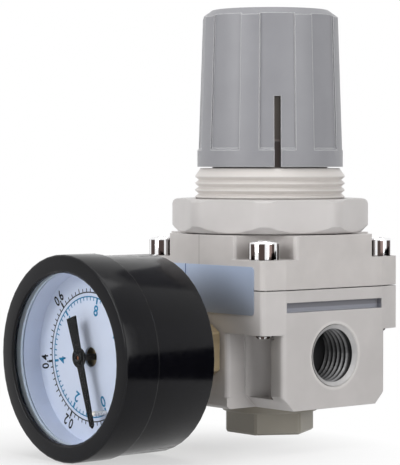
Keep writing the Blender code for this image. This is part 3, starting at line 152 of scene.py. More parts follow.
# Where the tones change
PORT_RING_RADIUS = 7.25
PORT_INSIDE_RADIUS = 6.6
POCKET_FOOT = 8.6
POCKET_TOP = 22.8
POCKET_START = 8.5  # from the middle plane, where its shade begins
POCKET_END = 12.5  # where its shade is full
GROOVE_METAL_HALF = 1.08
GROOVE_METAL_DEPTH = 1.65
STEM_TONE_START = 20.1
LABEL_GREY_LEVEL = 28.0
LABEL_BLUE_LEVEL = 37.0
NECK_LIGHT_LEVEL = 47.1
TOWER_DARK_LEVEL = 64.3
HEAD_CHAMFER_FOOT = 42.2

# Thin marks
MOULD_LINE_PLACE = -0.54
MOULD_LINE_HALF = 0.08
MOULD_LINE_FRONT = 19.9
RULE_PLACE = -4.8
RULE_HALF = 0.10
RULE_FOOT = 35.0
# count of painted reflection bands round each screw head
REFLECTION_BAND_COUNT = 9.0


# Materials
def new_material(name):
    material = bpy.data.materials.new(name)
    material.use_nodes = True
    return material, material.node_tree, material.node_tree.nodes["Principled BSDF"]


def add_node(tree, kind, **inputs):
    """A node with some inputs set: a tuple or number is a value, and anything else is a link."""
    node = tree.nodes.new("ShaderNode" + kind)
    for label, value in inputs.items():
        socket = node.inputs[label.replace("_", " ")]
        if isinstance(value, bpy.types.NodeSocket):
            tree.links.new(value, socket)
        else:
            socket.default_value = value
    return node


def math_node(tree, operation, first, second=0.0):
    node = tree.nodes.new("ShaderNodeMath")
    node.operation = operation
    for socket, value in zip(node.inputs, (first, second)):
        if isinstance(value, bpy.types.NodeSocket):
            tree.links.new(value, socket)
        else:
            socket.default_value = value
    return node.outputs[0]


def ramp(tree, value, low, high, low_result=0.0, high_result=1.0):
    """Maps a value from one range to another, held at both ends."""
    node = add_node(tree, "MapRange", Value=value, From_Min=low, From_Max=high, To_Min=low_result,
                    To_Max=high_result)
    return node.outputs["Result"]


def ramp_mm(tree, value, low, high, low_result=0.0, high_result=1.0):
    """Maps a place in metres from a range given in millimetres."""
    return ramp(tree, value, low * MM, high * MM, low_result, high_result)


def blend(tree, factor, first, second):
    """Mixes two colours, each a tuple or a link."""
    node = tree.nodes.new("ShaderNodeMix")
    node.data_type = "RGBA"
    sockets = [s for s in node.inputs if s.enabled]
    for socket, value in zip(sockets, (factor, first, second)):
        if isinstance(value, bpy.types.NodeSocket):
            tree.links.new(value, socket)
        elif isinstance(value, tuple):
            socket.default_value = (*value[:3], 1.0)
        else:
            socket.default_value = value
    return [s for s in node.outputs if s.enabled][0]


def scaled(colour, factor):
    return tuple(min(c * factor, 1.0) for c in colour)


def distance_from(tree, axis, level):
    """How far a point is from a level along one axis, either way."""
    return math_node(tree, "ABSOLUTE", math_node(tree, "SUBTRACT", axis, level * MM))


def object_place(tree):
    """A point's place on its object, as one vector, in metres."""
    return add_node(tree, "TexCoord").outputs["Object"]


def surface(name, colour, roughness, metallic=0.0, patch=0.04, patch_size=7.0, grain_size=0.35,
            bump=0.12, edge=0.25, edge_light=0.0, corner_shade=0.0, recolour=None, **sockets):
    """A worked finish: soft patches of colour, a fine grain in gloss and relief, and eased edges, with
    painted shade in closed corners and a painted highlight along edges.
    """
    material, tree, shader = new_material(name)
    place = object_place(tree)
    patches = add_node(tree, "TexNoise", Vector=place, Scale=1000 / patch_size, Detail=3.0)
    grain = add_node(tree, "TexNoise", Vector=place, Scale=1000 / grain_size, Detail=2.0)
    tone = blend(tree, ramp(tree, patches.outputs[0], 0.35, 0.65), scaled(colour, 1 - patch),
                 scaled(colour, 1 + patch))
    if corner_shade:
        # Painted shade: corners that ambient occlusion finds closed are blended towards dark brown.
        open_share = add_node(tree, "AmbientOcclusion", Distance=CORNER_REACH * MM)
        open_share.samples = 8
        closed = ramp(tree, open_share.outputs["AO"], 0.85, 0.25, 0.0, corner_shade)
        tone = blend(tree, closed, tone, CORNER_SHADE_BROWN)
    if recolour:
        tone = recolour(tree, tone, add_node(tree, "SeparateXYZ", Vector=place).outputs)
    eased = tree.nodes.new("ShaderNodeBevel")
    eased.samples = 4
    eased.inputs["Radius"].default_value = edge * MM
    if edge_light:
        # Painted highlight: edges are blended towards white where the eased normal turns away from the flat
        # one.
        flat = tree.nodes.new("ShaderNodeNewGeometry").outputs["Normal"]
        turned = tree.nodes.new("ShaderNodeVectorMath")
        turned.operation = "DOT_PRODUCT"
        tree.links.new(flat, turned.inputs[0])
        tree.links.new(eased.outputs[0], turned.inputs[1])
        edge_highlight_share = ramp(tree, turned.outputs["Value"], 0.995, 0.93, 0.0, edge_light)
        tone = blend(tree, edge_highlight_share, tone, WHITE)
    relief = add_node(tree, "Bump", Height=grain.outputs[0], Strength=bump, Distance=0.05 * MM,
                      Normal=eased.outputs[0])
    gloss = ramp(tree, grain.outputs[0], 0.3, 0.7, max(roughness - 0.05, 0.02), roughness + 0.05)
    tree.links.new(tone, shader.inputs["Base Color"])
    tree.links.new(gloss, shader.inputs["Roughness"])
    tree.links.new(relief.outputs[0], shader.inputs["Normal"])
    shader.inputs["Metallic"].default_value = metallic
    for label, value in sockets.items():
        shader.inputs[label.replace("_", " ")].default_value = value
    return material


def tower_shade(tree, tone, axes):
    """Painted light on the neck, painted shade in dull brown on the tower under the knob, darker higher up,
    and a mould line running down the bonnet's front.
    """
    # Painted light: the neck is blended halfway towards a lighter tone.
    neck = ramp_mm(tree, axes["Z"], NECK_LIGHT_LEVEL, NECK_LIGHT_LEVEL + 0.5, 0.0, 0.5)
    tone = blend(tree, neck, tone, NECK_PAINTED_LIGHT)
    # Painted shade: above the neck the tower is brown, and darker above TOWER_DARK_LEVEL.
    above = ramp_mm(tree, axes["Z"], NECK_TOP, NECK_TOP + 0.3)
    high = ramp_mm(tree, axes["Z"], TOWER_DARK_LEVEL, TOWER_DARK_LEVEL + 0.2)
    tone = blend(tree, above, tone, blend(tree, high, TOWER_SHADE_BROWN, TOWER_SHADE_DARK))
    from_line = distance_from(tree, axes["X"], MOULD_LINE_PLACE)
    clear = ramp_mm(tree, from_line, MOULD_LINE_HALF, MOULD_LINE_HALF * 3, 0.45, 1.0)
    front = ramp_mm(tree, axes["Y"], 0.4 - MOULD_LINE_FRONT, -MOULD_LINE_FRONT)
    clear = math_node(tree, "MAXIMUM", clear, math_node(tree, "SUBTRACT", 1.0, front))
    return blend(tree, clear, MOULD_LINE_TONE, tone)


def from_port_axis(tree, axes):
    y_square = math_node(tree, "POWER", axes["Y"], 2.0)
    rise = math_node(tree, "SUBTRACT", axes["Z"], PORT_LEVEL * MM)
    return math_node(tree, "SQRT", math_node(tree, "ADD", y_square, math_node(tree, "POWER", rise, 2.0)))


def thread_tones(tree, tone, axes):
    """Painted shade: bright crests over roots painted dark, and all of it painted darker further in."""
    crest = ramp_mm(tree, from_port_axis(tree, axes), THREAD_CREST + 0.5, THREAD_CREST + 0.2)
    reach = math_node(tree, "ABSOLUTE", axes["X"])
    near = ramp_mm(tree, reach, 12.0, 20.5, 0.12, 0.95)
    return blend(tree, math_node(tree, "MULTIPLY", crest, near), THREAD_ROOT_SHADE, tone)


def body_tones(tree, tone, axes):
    """A painted highlight ring and painted shade inside the ports, painted shade in the pockets, a painted
    reflection of the brass stem, and bare metal with painted shade in the grooves.
    """
    reach = math_node(tree, "ABSOLUTE", axes["X"])
    side = math_node(tree, "ABSOLUTE", axes["Y"])
    tone = port_tones(tree, tone, axes)
    tone = pocket_tones(tree, tone, axes["Z"], reach, side)
    # Painted reflection: in front of the body's front face the brass stem's brown is blended in.
    stem_reflection_share = ramp_mm(tree, axes["Y"], -STEM_TONE_START, -STEM_TONE_START - 0.3, 0.0, 0.6)
    tone = blend(tree, stem_reflection_share, tone, STEM_REFLECTION_BROWN)
    return groove_tones(tree, tone, axes["Z"], reach, side)


def port_tones(tree, tone, axes):
    # Painted highlight on the chamfer ring round the mouth, and painted shade inside the bore.
    from_axis = from_port_axis(tree, axes)
    edge = ramp_mm(tree, from_axis, PORT_RING_RADIUS + 0.3, PORT_RING_RADIUS, 0.0, 0.3)
    tone = blend(tree, edge, tone, PORT_RING_HIGHLIGHT)
    inside = ramp_mm(tree, from_axis, PORT_INSIDE_RADIUS + 0.06, PORT_INSIDE_RADIUS)
    return blend(tree, inside, tone, PORT_BORE_SHADE)


def pocket_tones(tree, tone, level, reach, side):
    """Painted shade: each pocket under a lobe is painted darker where it is deepest."""
    behind_lobe = ramp_mm(tree, reach, 13.0, 16.5)
    behind_face = ramp_mm(tree, reach, PORT_FACE - 0.3, PORT_FACE - 1.5)
    deep = math_node(tree, "MULTIPLY", behind_lobe, behind_face)
    below_lobe = ramp_mm(tree, level, POCKET_TOP + 0.2, POCKET_TOP)
    above_foot = ramp_mm(tree, level, POCKET_FOOT, POCKET_FOOT + 1.0)
    deep = math_node(tree, "MULTIPLY", deep, math_node(tree, "MULTIPLY", below_lobe, above_foot))
    deep = math_node(tree, "MULTIPLY", deep, ramp_mm(tree, side, POCKET_START, POCKET_END, 0.0, 0.36))
    return blend(tree, deep, tone, POCKET_SHADE)


def groove_tones(tree, tone, level, reach, side):
    """Bare metal in the groove over each port, with painted shade in its upper half, so lighter in its
    lower half.
    """
    sunk = ramp_mm(tree, reach, PORT_FACE - 0.2, PORT_FACE - 0.4)
    between = ramp_mm(tree, side, GROOVE_END + 0.1, GROOVE_END + 0.05)
    groove = math_node(tree, "MULTIPLY", sunk, between)
    from_middle = distance_from(tree, level, GROOVE_LEVEL)
    level_share = ramp_mm(tree, from_middle, GROOVE_METAL_HALF + 0.07, GROOVE_METAL_HALF)
    groove = math_node(tree, "MULTIPLY", groove, level_share)
    bottom = PORT_FACE - GROOVE_METAL_DEPTH
    groove = math_node(tree, "MULTIPLY", groove, ramp_mm(tree, reach, bottom - 0.15, bottom))
    # Painted shade: the groove's upper half is darker than its lower half.
    upper = ramp_mm(tree, level, GROOVE_LEVEL - 0.3, GROOVE_LEVEL - 0.1)
    return blend(tree, groove, tone, blend(tree, upper, GROOVE_LIT_METAL, GROOVE_SHADED_METAL))


def arbor_tones(tree, tone, axes):
    """Copper on the end that the pointer is pressed on, and painted shade on the arbor behind the pointer.
    """
    end = ramp_mm(tree, axes["Y"], 0.05 - POINTER_FACE, 0.02 - POINTER_FACE)
    return blend(tree, end, ARBOR_SHADE, tone)


def label_tones(tree, tone, axes):
    """Blue silver at the top, greyer below, with one thin blue rule at its upper left."""
    tone = blend(tree, ramp_mm(tree, axes["Z"], LABEL_GREY_LEVEL, LABEL_BLUE_LEVEL), LABEL_GREY, tone)
    from_rule = distance_from(tree, axes["X"], RULE_PLACE)
    beside = ramp_mm(tree, from_rule, RULE_HALF, RULE_HALF + 0.06)
    below = ramp_mm(tree, axes["Z"], RULE_FOOT, RULE_FOOT - 0.1)
    clear = math_node(tree, "MAXIMUM", beside, below)
    return blend(tree, clear, LABEL_RULE, tone)


def painted_reflection_bands(tree, tone, axes):
    """A painted reflection: dark upright bands round each screw's chrome head, below its chamfer."""
    off_x, off_y = [
        math_node(tree, "SUBTRACT", math_node(tree, "ABSOLUTE", axes[name]), SCREW_PLACE * MM)
        for name in "XY"]
    angle = math_node(tree, "ARCTAN2", off_y, off_x)
    wave = math_node(tree, "SINE", math_node(tree, "MULTIPLY", angle, REFLECTION_BAND_COUNT))
    dark = ramp(tree, wave, -0.55, -0.1)
    chamfer = ramp_mm(tree, axes["Z"], HEAD_CHAMFER_FOOT, HEAD_CHAMFER_FOOT + 0.2)
    dark = math_node(tree, "MULTIPLY", dark, math_node(tree, "SUBTRACT", 1.0, chamfer))
    return blend(tree, dark, tone, REFLECTION_BAND_DARK)


def glass(name):
    """Clear plastic that bends what is behind it and has a faint gloss."""
    material, tree, shader = new_material(name)
    tree.nodes.remove(shader)
    haze = add_node(tree, "TexNoise", Vector=object_place(tree), Scale=120.0, Detail=2.0)
    tint = blend(tree, haze.outputs[0], WINDOW_TINT, WHITE)
    rough = ramp(tree, haze.outputs[0], 0.3, 0.7, 0.0, 0.03)
    bent = add_node(tree, "BsdfRefraction", Color=tint, Roughness=rough, IOR=1.45)
    gloss = add_node(tree, "BsdfGlossy", Color=(*WHITE, 1.0), Roughness=0.05)
    clear = add_node(tree, "MixShader", Fac=WINDOW_GLOSS)
    tree.links.new(bent.outputs[0], clear.inputs[1])
    tree.links.new(gloss.outputs[0], clear.inputs[2])
    path = tree.nodes.new("ShaderNodeLightPath").outputs
    mix = add_node(tree, "MixShader")
    unbent = math_node(tree, "MAXIMUM", path["Is Shadow Ray"], path["Is Diffuse Ray"])
    tree.links.new(unbent, mix.inputs[0])
    tree.links.new(clear.outputs[0], mix.inputs[1])
    tree.links.new(tree.nodes.new("ShaderNodeBsdfTransparent").outputs[0], mix.inputs[2])
    tree.links.new(mix.outputs[0], tree.nodes["Material Output"].inputs["Surface"])
    return material


def print_ink(name, colour):
    return surface(name, colour, 0.7, patch=0.1, patch_size=1.5, bump=0.05, edge=0.01,
                   Specular_IOR_Level=0.1)


CAST = surface("ivory_cast", IVORY_BODY, 0.42, patch_size=9.0, grain_size=0.5, bump=0.2, edge=0.35,
               edge_light=0.25, corner_shade=0.12, recolour=body_tones)
BONNET = surface("ivory_moulded", IVORY, 0.38, edge=0.35, edge_light=0.25, recolour=tower_shade)
NUT = surface("pale_grey_moulded", NUT_GREY, 0.36, patch=0.025, edge=0.4, edge_light=0.2)
# the knob's edges carry a strong painted highlight
KNOB = surface("cool_grey_moulded", KNOB_GREY, 0.42, patch=0.03, edge=0.2, edge_light=0.75)
PLUG = surface("beige_moulded", PLUG_BEIGE, 0.42, edge=0.3, edge_light=0.2)
# the screw heads carry painted reflection bands
CHROME = surface("chrome_reflection_bands", (0.9, 0.9, 0.91), 0.08, metallic=1.0, bump=0.05, recolour=painted_reflection_bands)
LABEL = surface("silver_label", (0.47, 0.56, 0.74), 0.35, metallic=0.25, patch=0.02, bump=0.03,
                edge=0.03, recolour=label_tones)
BLACK = surface("black_enamel_gloss", (0.003, 0.003, 0.0045), 0.16, patch=0.2, grain_size=1.2, bump=0.04,
                edge=0.35, edge_light=0.02, Specular_IOR_Level=0.17)
DIAL = surface("dial_white_paint", (0.66, 0.72, 0.86), 0.4, patch=0.015, bump=0.03, edge=0.05)
POINTER = surface("pointer_black_paint", (0.004, 0.004, 0.004), 0.6, patch=0.2, edge=0.05,
                  Specular_IOR_Level=0.15)
PIN = surface("pin_bright", (0.75, 0.72, 0.66), 0.3, metallic=0.6, edge=0.1)
BRASS = surface("brass_turned", (0.50, 0.40, 0.25), 0.42, metallic=0.8, patch=0.1, edge=0.1)
COPPER = surface("copper_dot", (0.60, 0.22, 0.10), 0.35, metallic=0.6, patch=0.1, edge=0.05,
                 recolour=arbor_tones)
STEEL = surface("steel_plain", (0.45, 0.45, 0.46), 0.3, metallic=1.0, patch=0.08, edge=0.1)
RUBBER = surface("seal_rubber_black", (0.02, 0.02, 0.02), 0.7, patch=0.15, bump=0.3, edge=0.1)
PALE_RUBBER = surface("gasket_rubber_pale", (0.68, 0.76, 0.84), 0.5, patch=0.02, bump=0.05, edge=0.05)
METAL_THREAD = surface("cut_metal", (0.42, 0.42, 0.43), 0.3, metallic=0.3, patch=0.15, patch_size=2.0,
                       grain_size=0.2, edge=0.08, recolour=thread_tones)
MOUTH_METAL = surface("cut_mouth", (0.52, 0.51, 0.51), 0.35, metallic=0.2, patch=0.05, patch_size=2.0,
                      edge=0.05)
WINDOW = glass("clear_window_plastic")
BLACK_INK = print_ink("dial_ink_black", (0.012, 0.012, 0.014))
BLUE_INK = print_ink("dial_ink_blue", (0.02, 0.21, 0.40))

NODE_FINISHES = {
    "body": CAST, "bonnet": BONNET, "panel_nut": NUT, "knob": KNOB, "bottom_plug": PLUG, "label": LABEL,
    "bonnet_screw_1": CHROME, "bonnet_screw_2": CHROME, "bonnet_screw_3": CHROME, "bonnet_screw_4": CHROME,
    "gauge_bezel": BLACK, "gauge_case": BLACK, "gauge_window": WINDOW, "gauge_dial": DIAL,
    "pointer": POINTER, "stop_pin": PIN, "plug_seal": RUBBER, "diaphragm": RUBBER, "valve_disc": RUBBER,
    "window_gasket": PALE_RUBBER, "gauge_stem": BRASS, "relief_seat": BRASS, "valve_stem": BRASS,
    "spring_nut": BRASS, "thrust_washer": BRASS, "pressure_tube": BRASS, "tube_tip": BRASS, "link": BRASS,
    "sector_gear": BRASS, "movement_back_plate": BRASS, "movement_front_plate": BRASS,
    "pointer_arbor": COPPER, "adjusting_screw": STEEL, "adjusting_spring": STEEL, "valve_spring": STEEL,
    "hairspring": STEEL, "diaphragm_plate": STEEL, "rear_port_plug": STEEL,
}


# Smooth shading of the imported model
CRISP_ANGLE = 20
FACE_CRISP_ANGLE = 9
BEYOND_ALL = 1000  # no edge of the model lies so far out


def field_node(tree, kind, **inputs):
    """A geometry node with some inputs set, as add_node sets a material's."""
    node = tree.nodes.new(kind)
    for label, value in inputs.items():
        socket = node.inputs[label.replace("_", " ")]
        if isinstance(value, bpy.types.NodeSocket):
            tree.links.new(value, socket)
        else:
            socket.default_value = value
    return node


def smoothing(name, crease_beyond):
    """Joins split points and shades round faces smooth, with crisp edges over CRISP_ANGLE.

    Edges that lie further out than a distance along X stay crisp over FACE_CRISP_ANGLE.
    """
    tree = bpy.data.node_groups.new(name, "GeometryNodeTree")
    tree.interface.new_socket("Geometry", in_out="INPUT", socket_type="NodeSocketGeometry")
    tree.interface.new_socket("Geometry", in_out="OUTPUT", socket_type="NodeSocketGeometry")
    start = tree.nodes.new("NodeGroupInput")
    end = tree.nodes.new("NodeGroupOutput")
    joined = field_node(tree, "GeometryNodeMergeByDistance", Geometry=start.outputs[0], Distance=0.001 * MM)
    faces = field_node(tree, "GeometryNodeSetShadeSmooth", Geometry=joined.outputs[0], Shade_Smooth=True)
    angle = tree.nodes.new("GeometryNodeInputMeshEdgeAngle").outputs["Unsigned Angle"]
    position = tree.nodes.new("GeometryNodeInputPosition").outputs[0]
    axes = field_node(tree, "ShaderNodeSeparateXYZ", Vector=position).outputs
    reach = math_node(tree, "ABSOLUTE", axes["X"])
    far = math_node(tree, "GREATER_THAN", reach, crease_beyond * MM)
    eased = math_node(tree, "MULTIPLY", far, math.radians(CRISP_ANGLE - FACE_CRISP_ANGLE))
    limit = math_node(tree, "SUBTRACT", math.radians(CRISP_ANGLE), eased)
    crisp = math_node(tree, "GREATER_THAN", angle, limit)
    edges = field_node(tree, "GeometryNodeSetShadeSmooth", Geometry=faces.outputs[0], Selection=crisp,
                       Shade_Smooth=False)
    edges.domain = "EDGE"
    plain = field_node(tree, "GeometryNodeRemoveAttribute", Geometry=edges.outputs[0], Name="custom_normal")
    tree.links.new(plain.outputs[0], end.inputs[0])
    return tree


# Pieces
def close_ring(shape, rows):
    """Faces between each row of points and the next, and round each row, as on a ring of one section."""
    for row, after in zip(rows, rows[1:] + rows[:1]):
        for k in range(len(row)):
            after_k = (k + 1) % len(row)
            shape.faces.new((row[k], row[after_k], after[after_k], after[k]))
    bmesh.ops.recalc_face_normals(shape, faces=shape.faces)


def add_piece(name, shape, material, body):
    """A mesh piece from a bmesh whose points are in millimetres."""
    bmesh.ops.scale(shape, vec=(MM, MM, MM), verts=shape.verts)
    mesh = bpy.data.meshes.new(name)
    shape.to_mesh(mesh)
    shape.free()
    mesh.materials.append(material)
    piece = bpy.data.objects.new(name, mesh)
    bpy.context.scene.collection.objects.link(piece)
    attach(piece, body)


def add_flexing(node):
    """A copy of a spring or rubber node, attached to the housing, that stands for that node and hides it.
    """
    piece = bpy.data.objects.new(node + "_flexing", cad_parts[node].data.copy())
    bpy.context.scene.collection.objects.link(piece)
    finish_piece(piece, NODE_FINISHES[node], smooth_round)
    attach(piece, "housing")
    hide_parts(node)
    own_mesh(piece)


def finish_piece(piece, material, group):
    piece.data.materials.clear()
    piece.data.materials.append(material)
    step = piece.modifiers.new("smooth shading", "NODES")
    step.node_group = group


def on_dial(radius, angle, lift=PRINT_LIFT):
    """A point of the dial's face, by its radius and its angle from straight right, turning up."""
    turn = math.radians(angle)
    return (radius * math.cos(turn), -DIAL_FACE - lift, GAUGE_LEVEL + radius * math.sin(turn))


def add_line(shape, inner, outer, angle, width):
    """A thin radial line."""
    middle = (inner + outer) / 2
    half = math.degrees(width / 2 / middle)
    corners = [on_dial(inner, angle - half), on_dial(outer, angle - half), on_dial(outer, angle + half),
               on_dial(inner, angle + half)]
    shape.faces.new([shape.verts.new(corner) for corner in corners])


def add_arc(shape, radius, width):
    """The scale's circle, a thin band along its sweep."""
    steps = SCALE_STEPS * 2
    rows = []
    for i in range(steps + 1):
        angle = SCALE_START - SCALE_SWEEP * i / steps
        rows.append([shape.verts.new(on_dial(r, angle)) for r in (radius - width / 2, radius + width / 2)])
    for first, second in zip(rows, rows[1:]):
        shape.faces.new((first[0], first[1], second[1], second[0]))


def add_number(shape, text, radius, angle, size, squeeze):
    """A number whose top points outwards."""
    curve = bpy.data.curves.new("number", "FONT")
    curve.body = text
    curve.size = size
    curve.align_x = "CENTER"
    curve.align_y = "CENTER"
    curve.resolution_u = 3
    curve.offset = NUMBER_WEIGHT * size
    item = bpy.data.objects.new("number", curve)
    bpy.context.scene.collection.objects.link(item)
    bpy.context.view_layer.update()
    mesh = bpy.data.meshes.new_from_object(item.evaluated_get(bpy.context.evaluated_depsgraph_get()))
    bpy.data.objects.remove(item, do_unlink=True)
    turn = math.radians(angle - 90)
    stand = Matrix.Rotation(math.radians(90), 4, "X")
    place = Matrix.Translation(on_dial(radius, angle)) @ stand @ Matrix.Rotation(turn, 4, "Z")
    mesh.transform(place @ Matrix.Diagonal((squeeze, 1, 1, 1)))
    shape.from_mesh(mesh)
    bpy.data.meshes.remove(mesh)


def scale_angle(share):
    return SCALE_START - SCALE_SWEEP * share


def make_dial_print():
    black = bmesh.new()
    blue = bmesh.new()
    add_arc(black, BLACK_CIRCLE, LINE_WIDTH)
    add_arc(blue, BLUE_CIRCLE, LINE_WIDTH)
    for i in range(SCALE_STEPS + 1):
        angle = scale_angle(i / SCALE_STEPS)
        reach, width = TICK_SHORT, LINE_WIDTH
        if i % 5 == 0:
            reach = TICK_MEDIUM
        if i % 10 == 0:
            reach, width = TICK_LONG, LONG_TICK_WIDTH
        add_line(black, BLACK_CIRCLE, BLACK_CIRCLE + reach, angle, width)
        add_line(blue, BLUE_CIRCLE - reach, BLUE_CIRCLE, angle, width)
    for i in range(NUMBERS):
        share = i / (NUMBERS - 1)
        angle = scale_angle(share)
        number = "0" if i == 0 else f"{share:.1f}"
        add_number(black, number, BLACK_NUMBER_RADIUS, angle, BLACK_NUMBER_SIZE, BLACK_SQUEEZE)
        add_number(blue, str(2 * i), BLUE_NUMBER_RADIUS, angle, BLUE_NUMBER_SIZE, BLUE_SQUEEZE)
    add_piece("dial_print_black", black, BLACK_INK, "housing")
    add_piece("dial_print_blue", blue, BLUE_INK, "housing")


def in_port(side, radius, angle, depth):
    """A point in a port, by its radius, its angle and its depth behind the port's face."""
    return (side * (PORT_FACE - depth), radius * math.cos(angle), PORT_LEVEL + radius * math.sin(angle))


def make_port_thread(name, side):
    """The inner thread of a pipe port: a three-sided ridge wound along its bore."""
    shape = bmesh.new()
    rows = []
    count = int(THREAD_TURNS * THREAD_STEPS)
    for i in range(count + 1):
        angle = 2 * math.pi * i / THREAD_STEPS
        depth = THREAD_START + THREAD_PITCH * (i / THREAD_STEPS + 0.5)
        fade = min(i, count - i, THREAD_STEPS / 3) / (THREAD_STEPS / 3)
        crest = THREAD_ROOT - (THREAD_ROOT - THREAD_CREST) * (0.15 + 0.85 * fade)
        row = []
        for radius, shift in ((THREAD_ROOT, -THREAD_FLANK), (crest, 0.0), (THREAD_ROOT, THREAD_FLANK)):
            depth_here = depth + shift * THREAD_PITCH
            row.append(shape.verts.new(in_port(side, radius, angle, depth_here)))
        rows.append(row)
    for first, second in zip(rows, rows[1:]):
        for k in range(3):
            shape.faces.new((first[k], first[(k + 1) % 3], second[(k + 1) % 3], second[k]))
    shape.faces.new(rows[0])
    shape.faces.new(rows[-1])
    bmesh.ops.recalc_face_normals(shape, faces=shape.faces)
    add_piece(name, shape, METAL_THREAD, "housing")


def make_port_mouth(name, side):
    """The thread's first turn, cut back to a bright cone at the port's mouth."""
    shape = bmesh.new()
    root = THREAD_ROOT - 0.1
    profile = [(MOUTH_RADIUS, 0.05), (THREAD_CREST, MOUTH_DEPTH)]
    profile += [(root, MOUTH_DEPTH + MOUTH_DEPTH_BEHIND), (root, 0.6)]
    rows = []
    for i in range(MOUTH_STEPS):
        angle = 2 * math.pi * i / MOUTH_STEPS
        rows.append([shape.verts.new(in_port(side, radius, angle, depth)) for radius, depth in profile])
    close_ring(shape, rows)
    add_piece(name, shape, MOUTH_METAL, "housing")


def turned_shape(profile, steps):
    """A closed ring turned about the gauge's axis, from (radius, reach towards the viewer) points."""
    shape = bmesh.new()
    rows = []
    for i in range(steps):
        angle = 2 * math.pi * i / steps
        rows.append([
            shape.verts.new((r * math.cos(angle), -reach, GAUGE_LEVEL + r * math.sin(angle)))
            for r, reach in profile])
    close_ring(shape, rows)
    for face in shape.faces:
        face.smooth = True
    return shape


def make_hub():
    """A low black dome round the pointer's arbor."""
    foot = POINTER_FACE + 0.02
    top = POINTER_FACE + HUB_HEIGHT
    profile = [(HUB_INSIDE, foot), (HUB_INSIDE + 0.03, top - 0.02), (0.8, top)]
    profile += [(HUB_RADIUS - 0.15, top - 0.12), (HUB_RADIUS, foot)]
    add_piece("pointer_hub", turned_shape(profile, HUB_STEPS), POINTER, "pointer")


# Stage
FLOOR_SIZE = 4000
SHADOW_MIDDLE = 40.0  # in front of the body, under the gauge
SHADOW_START = 20.0
SHADOW_END = 62.0
WORLD_LIGHT = 0.24
LAMP_TARGET = (0, 0, 45)
CARD_TURN = -48


def make_floor():
    """A pale floor that keeps the shadow near the object and runs out to white around it."""
    shape = bmesh.new()
    bmesh.ops.create_grid(shape, x_segments=1, y_segments=1, size=FLOOR_SIZE * MM)
    mesh = bpy.data.meshes.new("floor")
    shape.to_mesh(mesh)
    shape.free()
    floor = bpy.data.objects.new("floor", mesh)
    bpy.context.scene.collection.objects.link(floor)
    floor.location.z = FLOOR_LEVEL * MM
    material, tree, shader = new_material("pale_floor")
    shader.inputs["Base Color"].default_value = (0.85, 0.85, 0.85, 1.0)
    shader.inputs["Roughness"].default_value = 0.8
    length = tree.nodes.new("ShaderNodeVectorMath")
    length.operation = "DISTANCE"
    tree.links.new(object_place(tree), length.inputs[0])
    length.inputs[1].default_value = (0.0, -SHADOW_MIDDLE * MM, 0.0)
    far = ramp_mm(tree, length.outputs["Value"], SHADOW_START, SHADOW_END, 0.55, 1.0)
    seen = seen_share(tree)
    white = add_node(tree, "Emission", Color=(*WHITE, 1.0), Strength=1.0)
    mix = add_node(tree, "MixShader")
    tree.links.new(math_node(tree, "MULTIPLY", far, seen), mix.inputs[0])
    tree.links.new(shader.outputs[0], mix.inputs[1])
    tree.links.new(white.outputs[0], mix.inputs[2])
    tree.links.new(mix.outputs[0], tree.nodes["Material Output"].inputs["Surface"])
    mesh.materials.append(material)


def seen_share(tree):
    """1 for rays that look at the background, straight or by gloss or glass, and 0 for light."""
    path = tree.nodes.new("ShaderNodeLightPath").outputs
    seen = math_node(tree, "MAXIMUM", path["Is Camera Ray"], path["Is Glossy Ray"])
    return math_node(tree, "MAXIMUM", seen, path["Is Transmission Ray"])


def make_world():
    world = bpy.data.worlds.new("studio")
    bpy.context.scene.world = world
    world.use_nodes = True
    tree = world.node_tree
    tree.nodes.clear()
    light = add_node(tree, "Background", Color=(*WHITE, 1.0), Strength=WORLD_LIGHT)
    white = add_node(tree, "Background", Color=(*WHITE, 1.0), Strength=1.0)
    mix = add_node(tree, "MixShader")
    tree.links.new(seen_share(tree), mix.inputs[0])
    tree.links.new(light.outputs[0], mix.inputs[1])
    tree.links.new(white.outputs[0], mix.inputs[2])
    output = tree.nodes.new("ShaderNodeOutputWorld")
    tree.links.new(mix.outputs[0], output.inputs["Surface"])


def add_lamp(name, place, size, power):
    data = bpy.data.lights.new(name, "AREA")
    data.shape = "SQUARE"
    data.size = size * MM
    data.energy = power
    lamp = bpy.data.objects.new(name, data)
    bpy.context.scene.collection.objects.link(lamp)
    lamp.location = Vector(place) * MM
    lamp.rotation_euler = (Vector(place) - Vector(LAMP_TARGET)).to_track_quat("Z", "Y").to_euler()


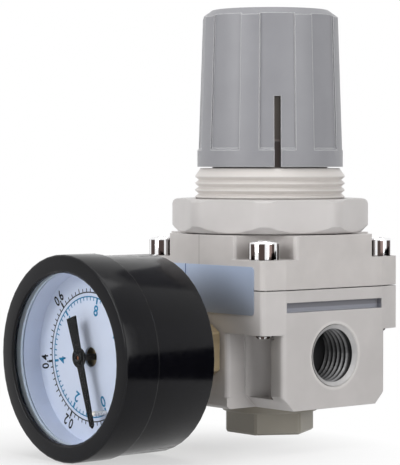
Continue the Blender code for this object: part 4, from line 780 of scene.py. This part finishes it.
def add_card(name, place, size, turn, material):
    """A black studio card that only gloss sees, for the dark band along glossy black."""
    shape = bmesh.new()
    bmesh.ops.create_grid(shape, x_segments=1, y_segments=1, size=0.5)
    mesh = bpy.data.meshes.new(name)
    shape.to_mesh(mesh)
    shape.free()
    card = bpy.data.objects.new(name, mesh)
    bpy.context.scene.collection.objects.link(card)
    card.location = Vector(place) * MM
    card.scale = (size[0] * MM, size[1] * MM, 1)
    card.rotation_euler = [math.radians(a) for a in turn]
    card.visible_camera = False
    card.visible_diffuse = False
    card.visible_shadow = False
    card.visible_transmission = False
    mesh.materials.append(material)


def make_cards():
    material, _, shader = new_material("black_card")
    shader.inputs["Base Color"].default_value = (0.005, 0.005, 0.005, 1.0)
    shader.inputs["Roughness"].default_value = 0.9
    shader.inputs["Specular IOR Level"].default_value = 0.0
    behind = (520, 470, 38)
    low = (317, 222, FLOOR_LEVEL + 0.5)
    add_card("card_upright", place=behind, size=(700, 80), turn=(90, 0, CARD_TURN), material=material)
    add_card("card_low", place=low, size=(900, 700), turn=(0, 0, CARD_TURN), material=material)


def make_camera():
    data = bpy.data.cameras.new("camera")
    data.lens = LENS_LENGTH
    camera = bpy.data.objects.new("camera", data)
    bpy.context.scene.collection.objects.link(camera)
    angle = math.radians(CAMERA_AZIMUTH)
    camera.location = (CAMERA_DISTANCE * math.sin(angle) * MM, -CAMERA_DISTANCE * math.cos(angle) * MM,
                       CAMERA_HEIGHT * MM)
    camera.rotation_euler = (math.radians(90 - CAMERA_DIP), 0, math.radians(CAMERA_AZIMUTH + CAMERA_TURN))
    bpy.context.scene.camera = camera


make_camera()
make_world()
make_floor()
add_lamp("key", place=(-100, -900, 360), size=500, power=4.2)
add_lamp("fill", place=(900, 60, 330), size=600, power=3.5)
add_lamp("top", place=(50, -50, 900), size=800, power=3.6)
make_cards()
smooth_round = smoothing("smooth_round", BEYOND_ALL)
smooth_block = smoothing("smooth_block", LOBE_FACE - 0.05)
for node, material in NODE_FINISHES.items():
    group = smooth_block if node in ("body", "bonnet") else smooth_round
    finish_piece(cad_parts[node], material, group)
add_flexing("adjusting_spring")
add_flexing("valve_spring")
add_flexing("diaphragm")
make_dial_print()
make_hub()
make_port_thread("outlet_thread", 1)
make_port_thread("inlet_thread", -1)
make_port_mouth("outlet_mouth", 1)
make_port_mouth("inlet_mouth", -1)
bpy.context.scene.view_settings.view_transform = "Standard"
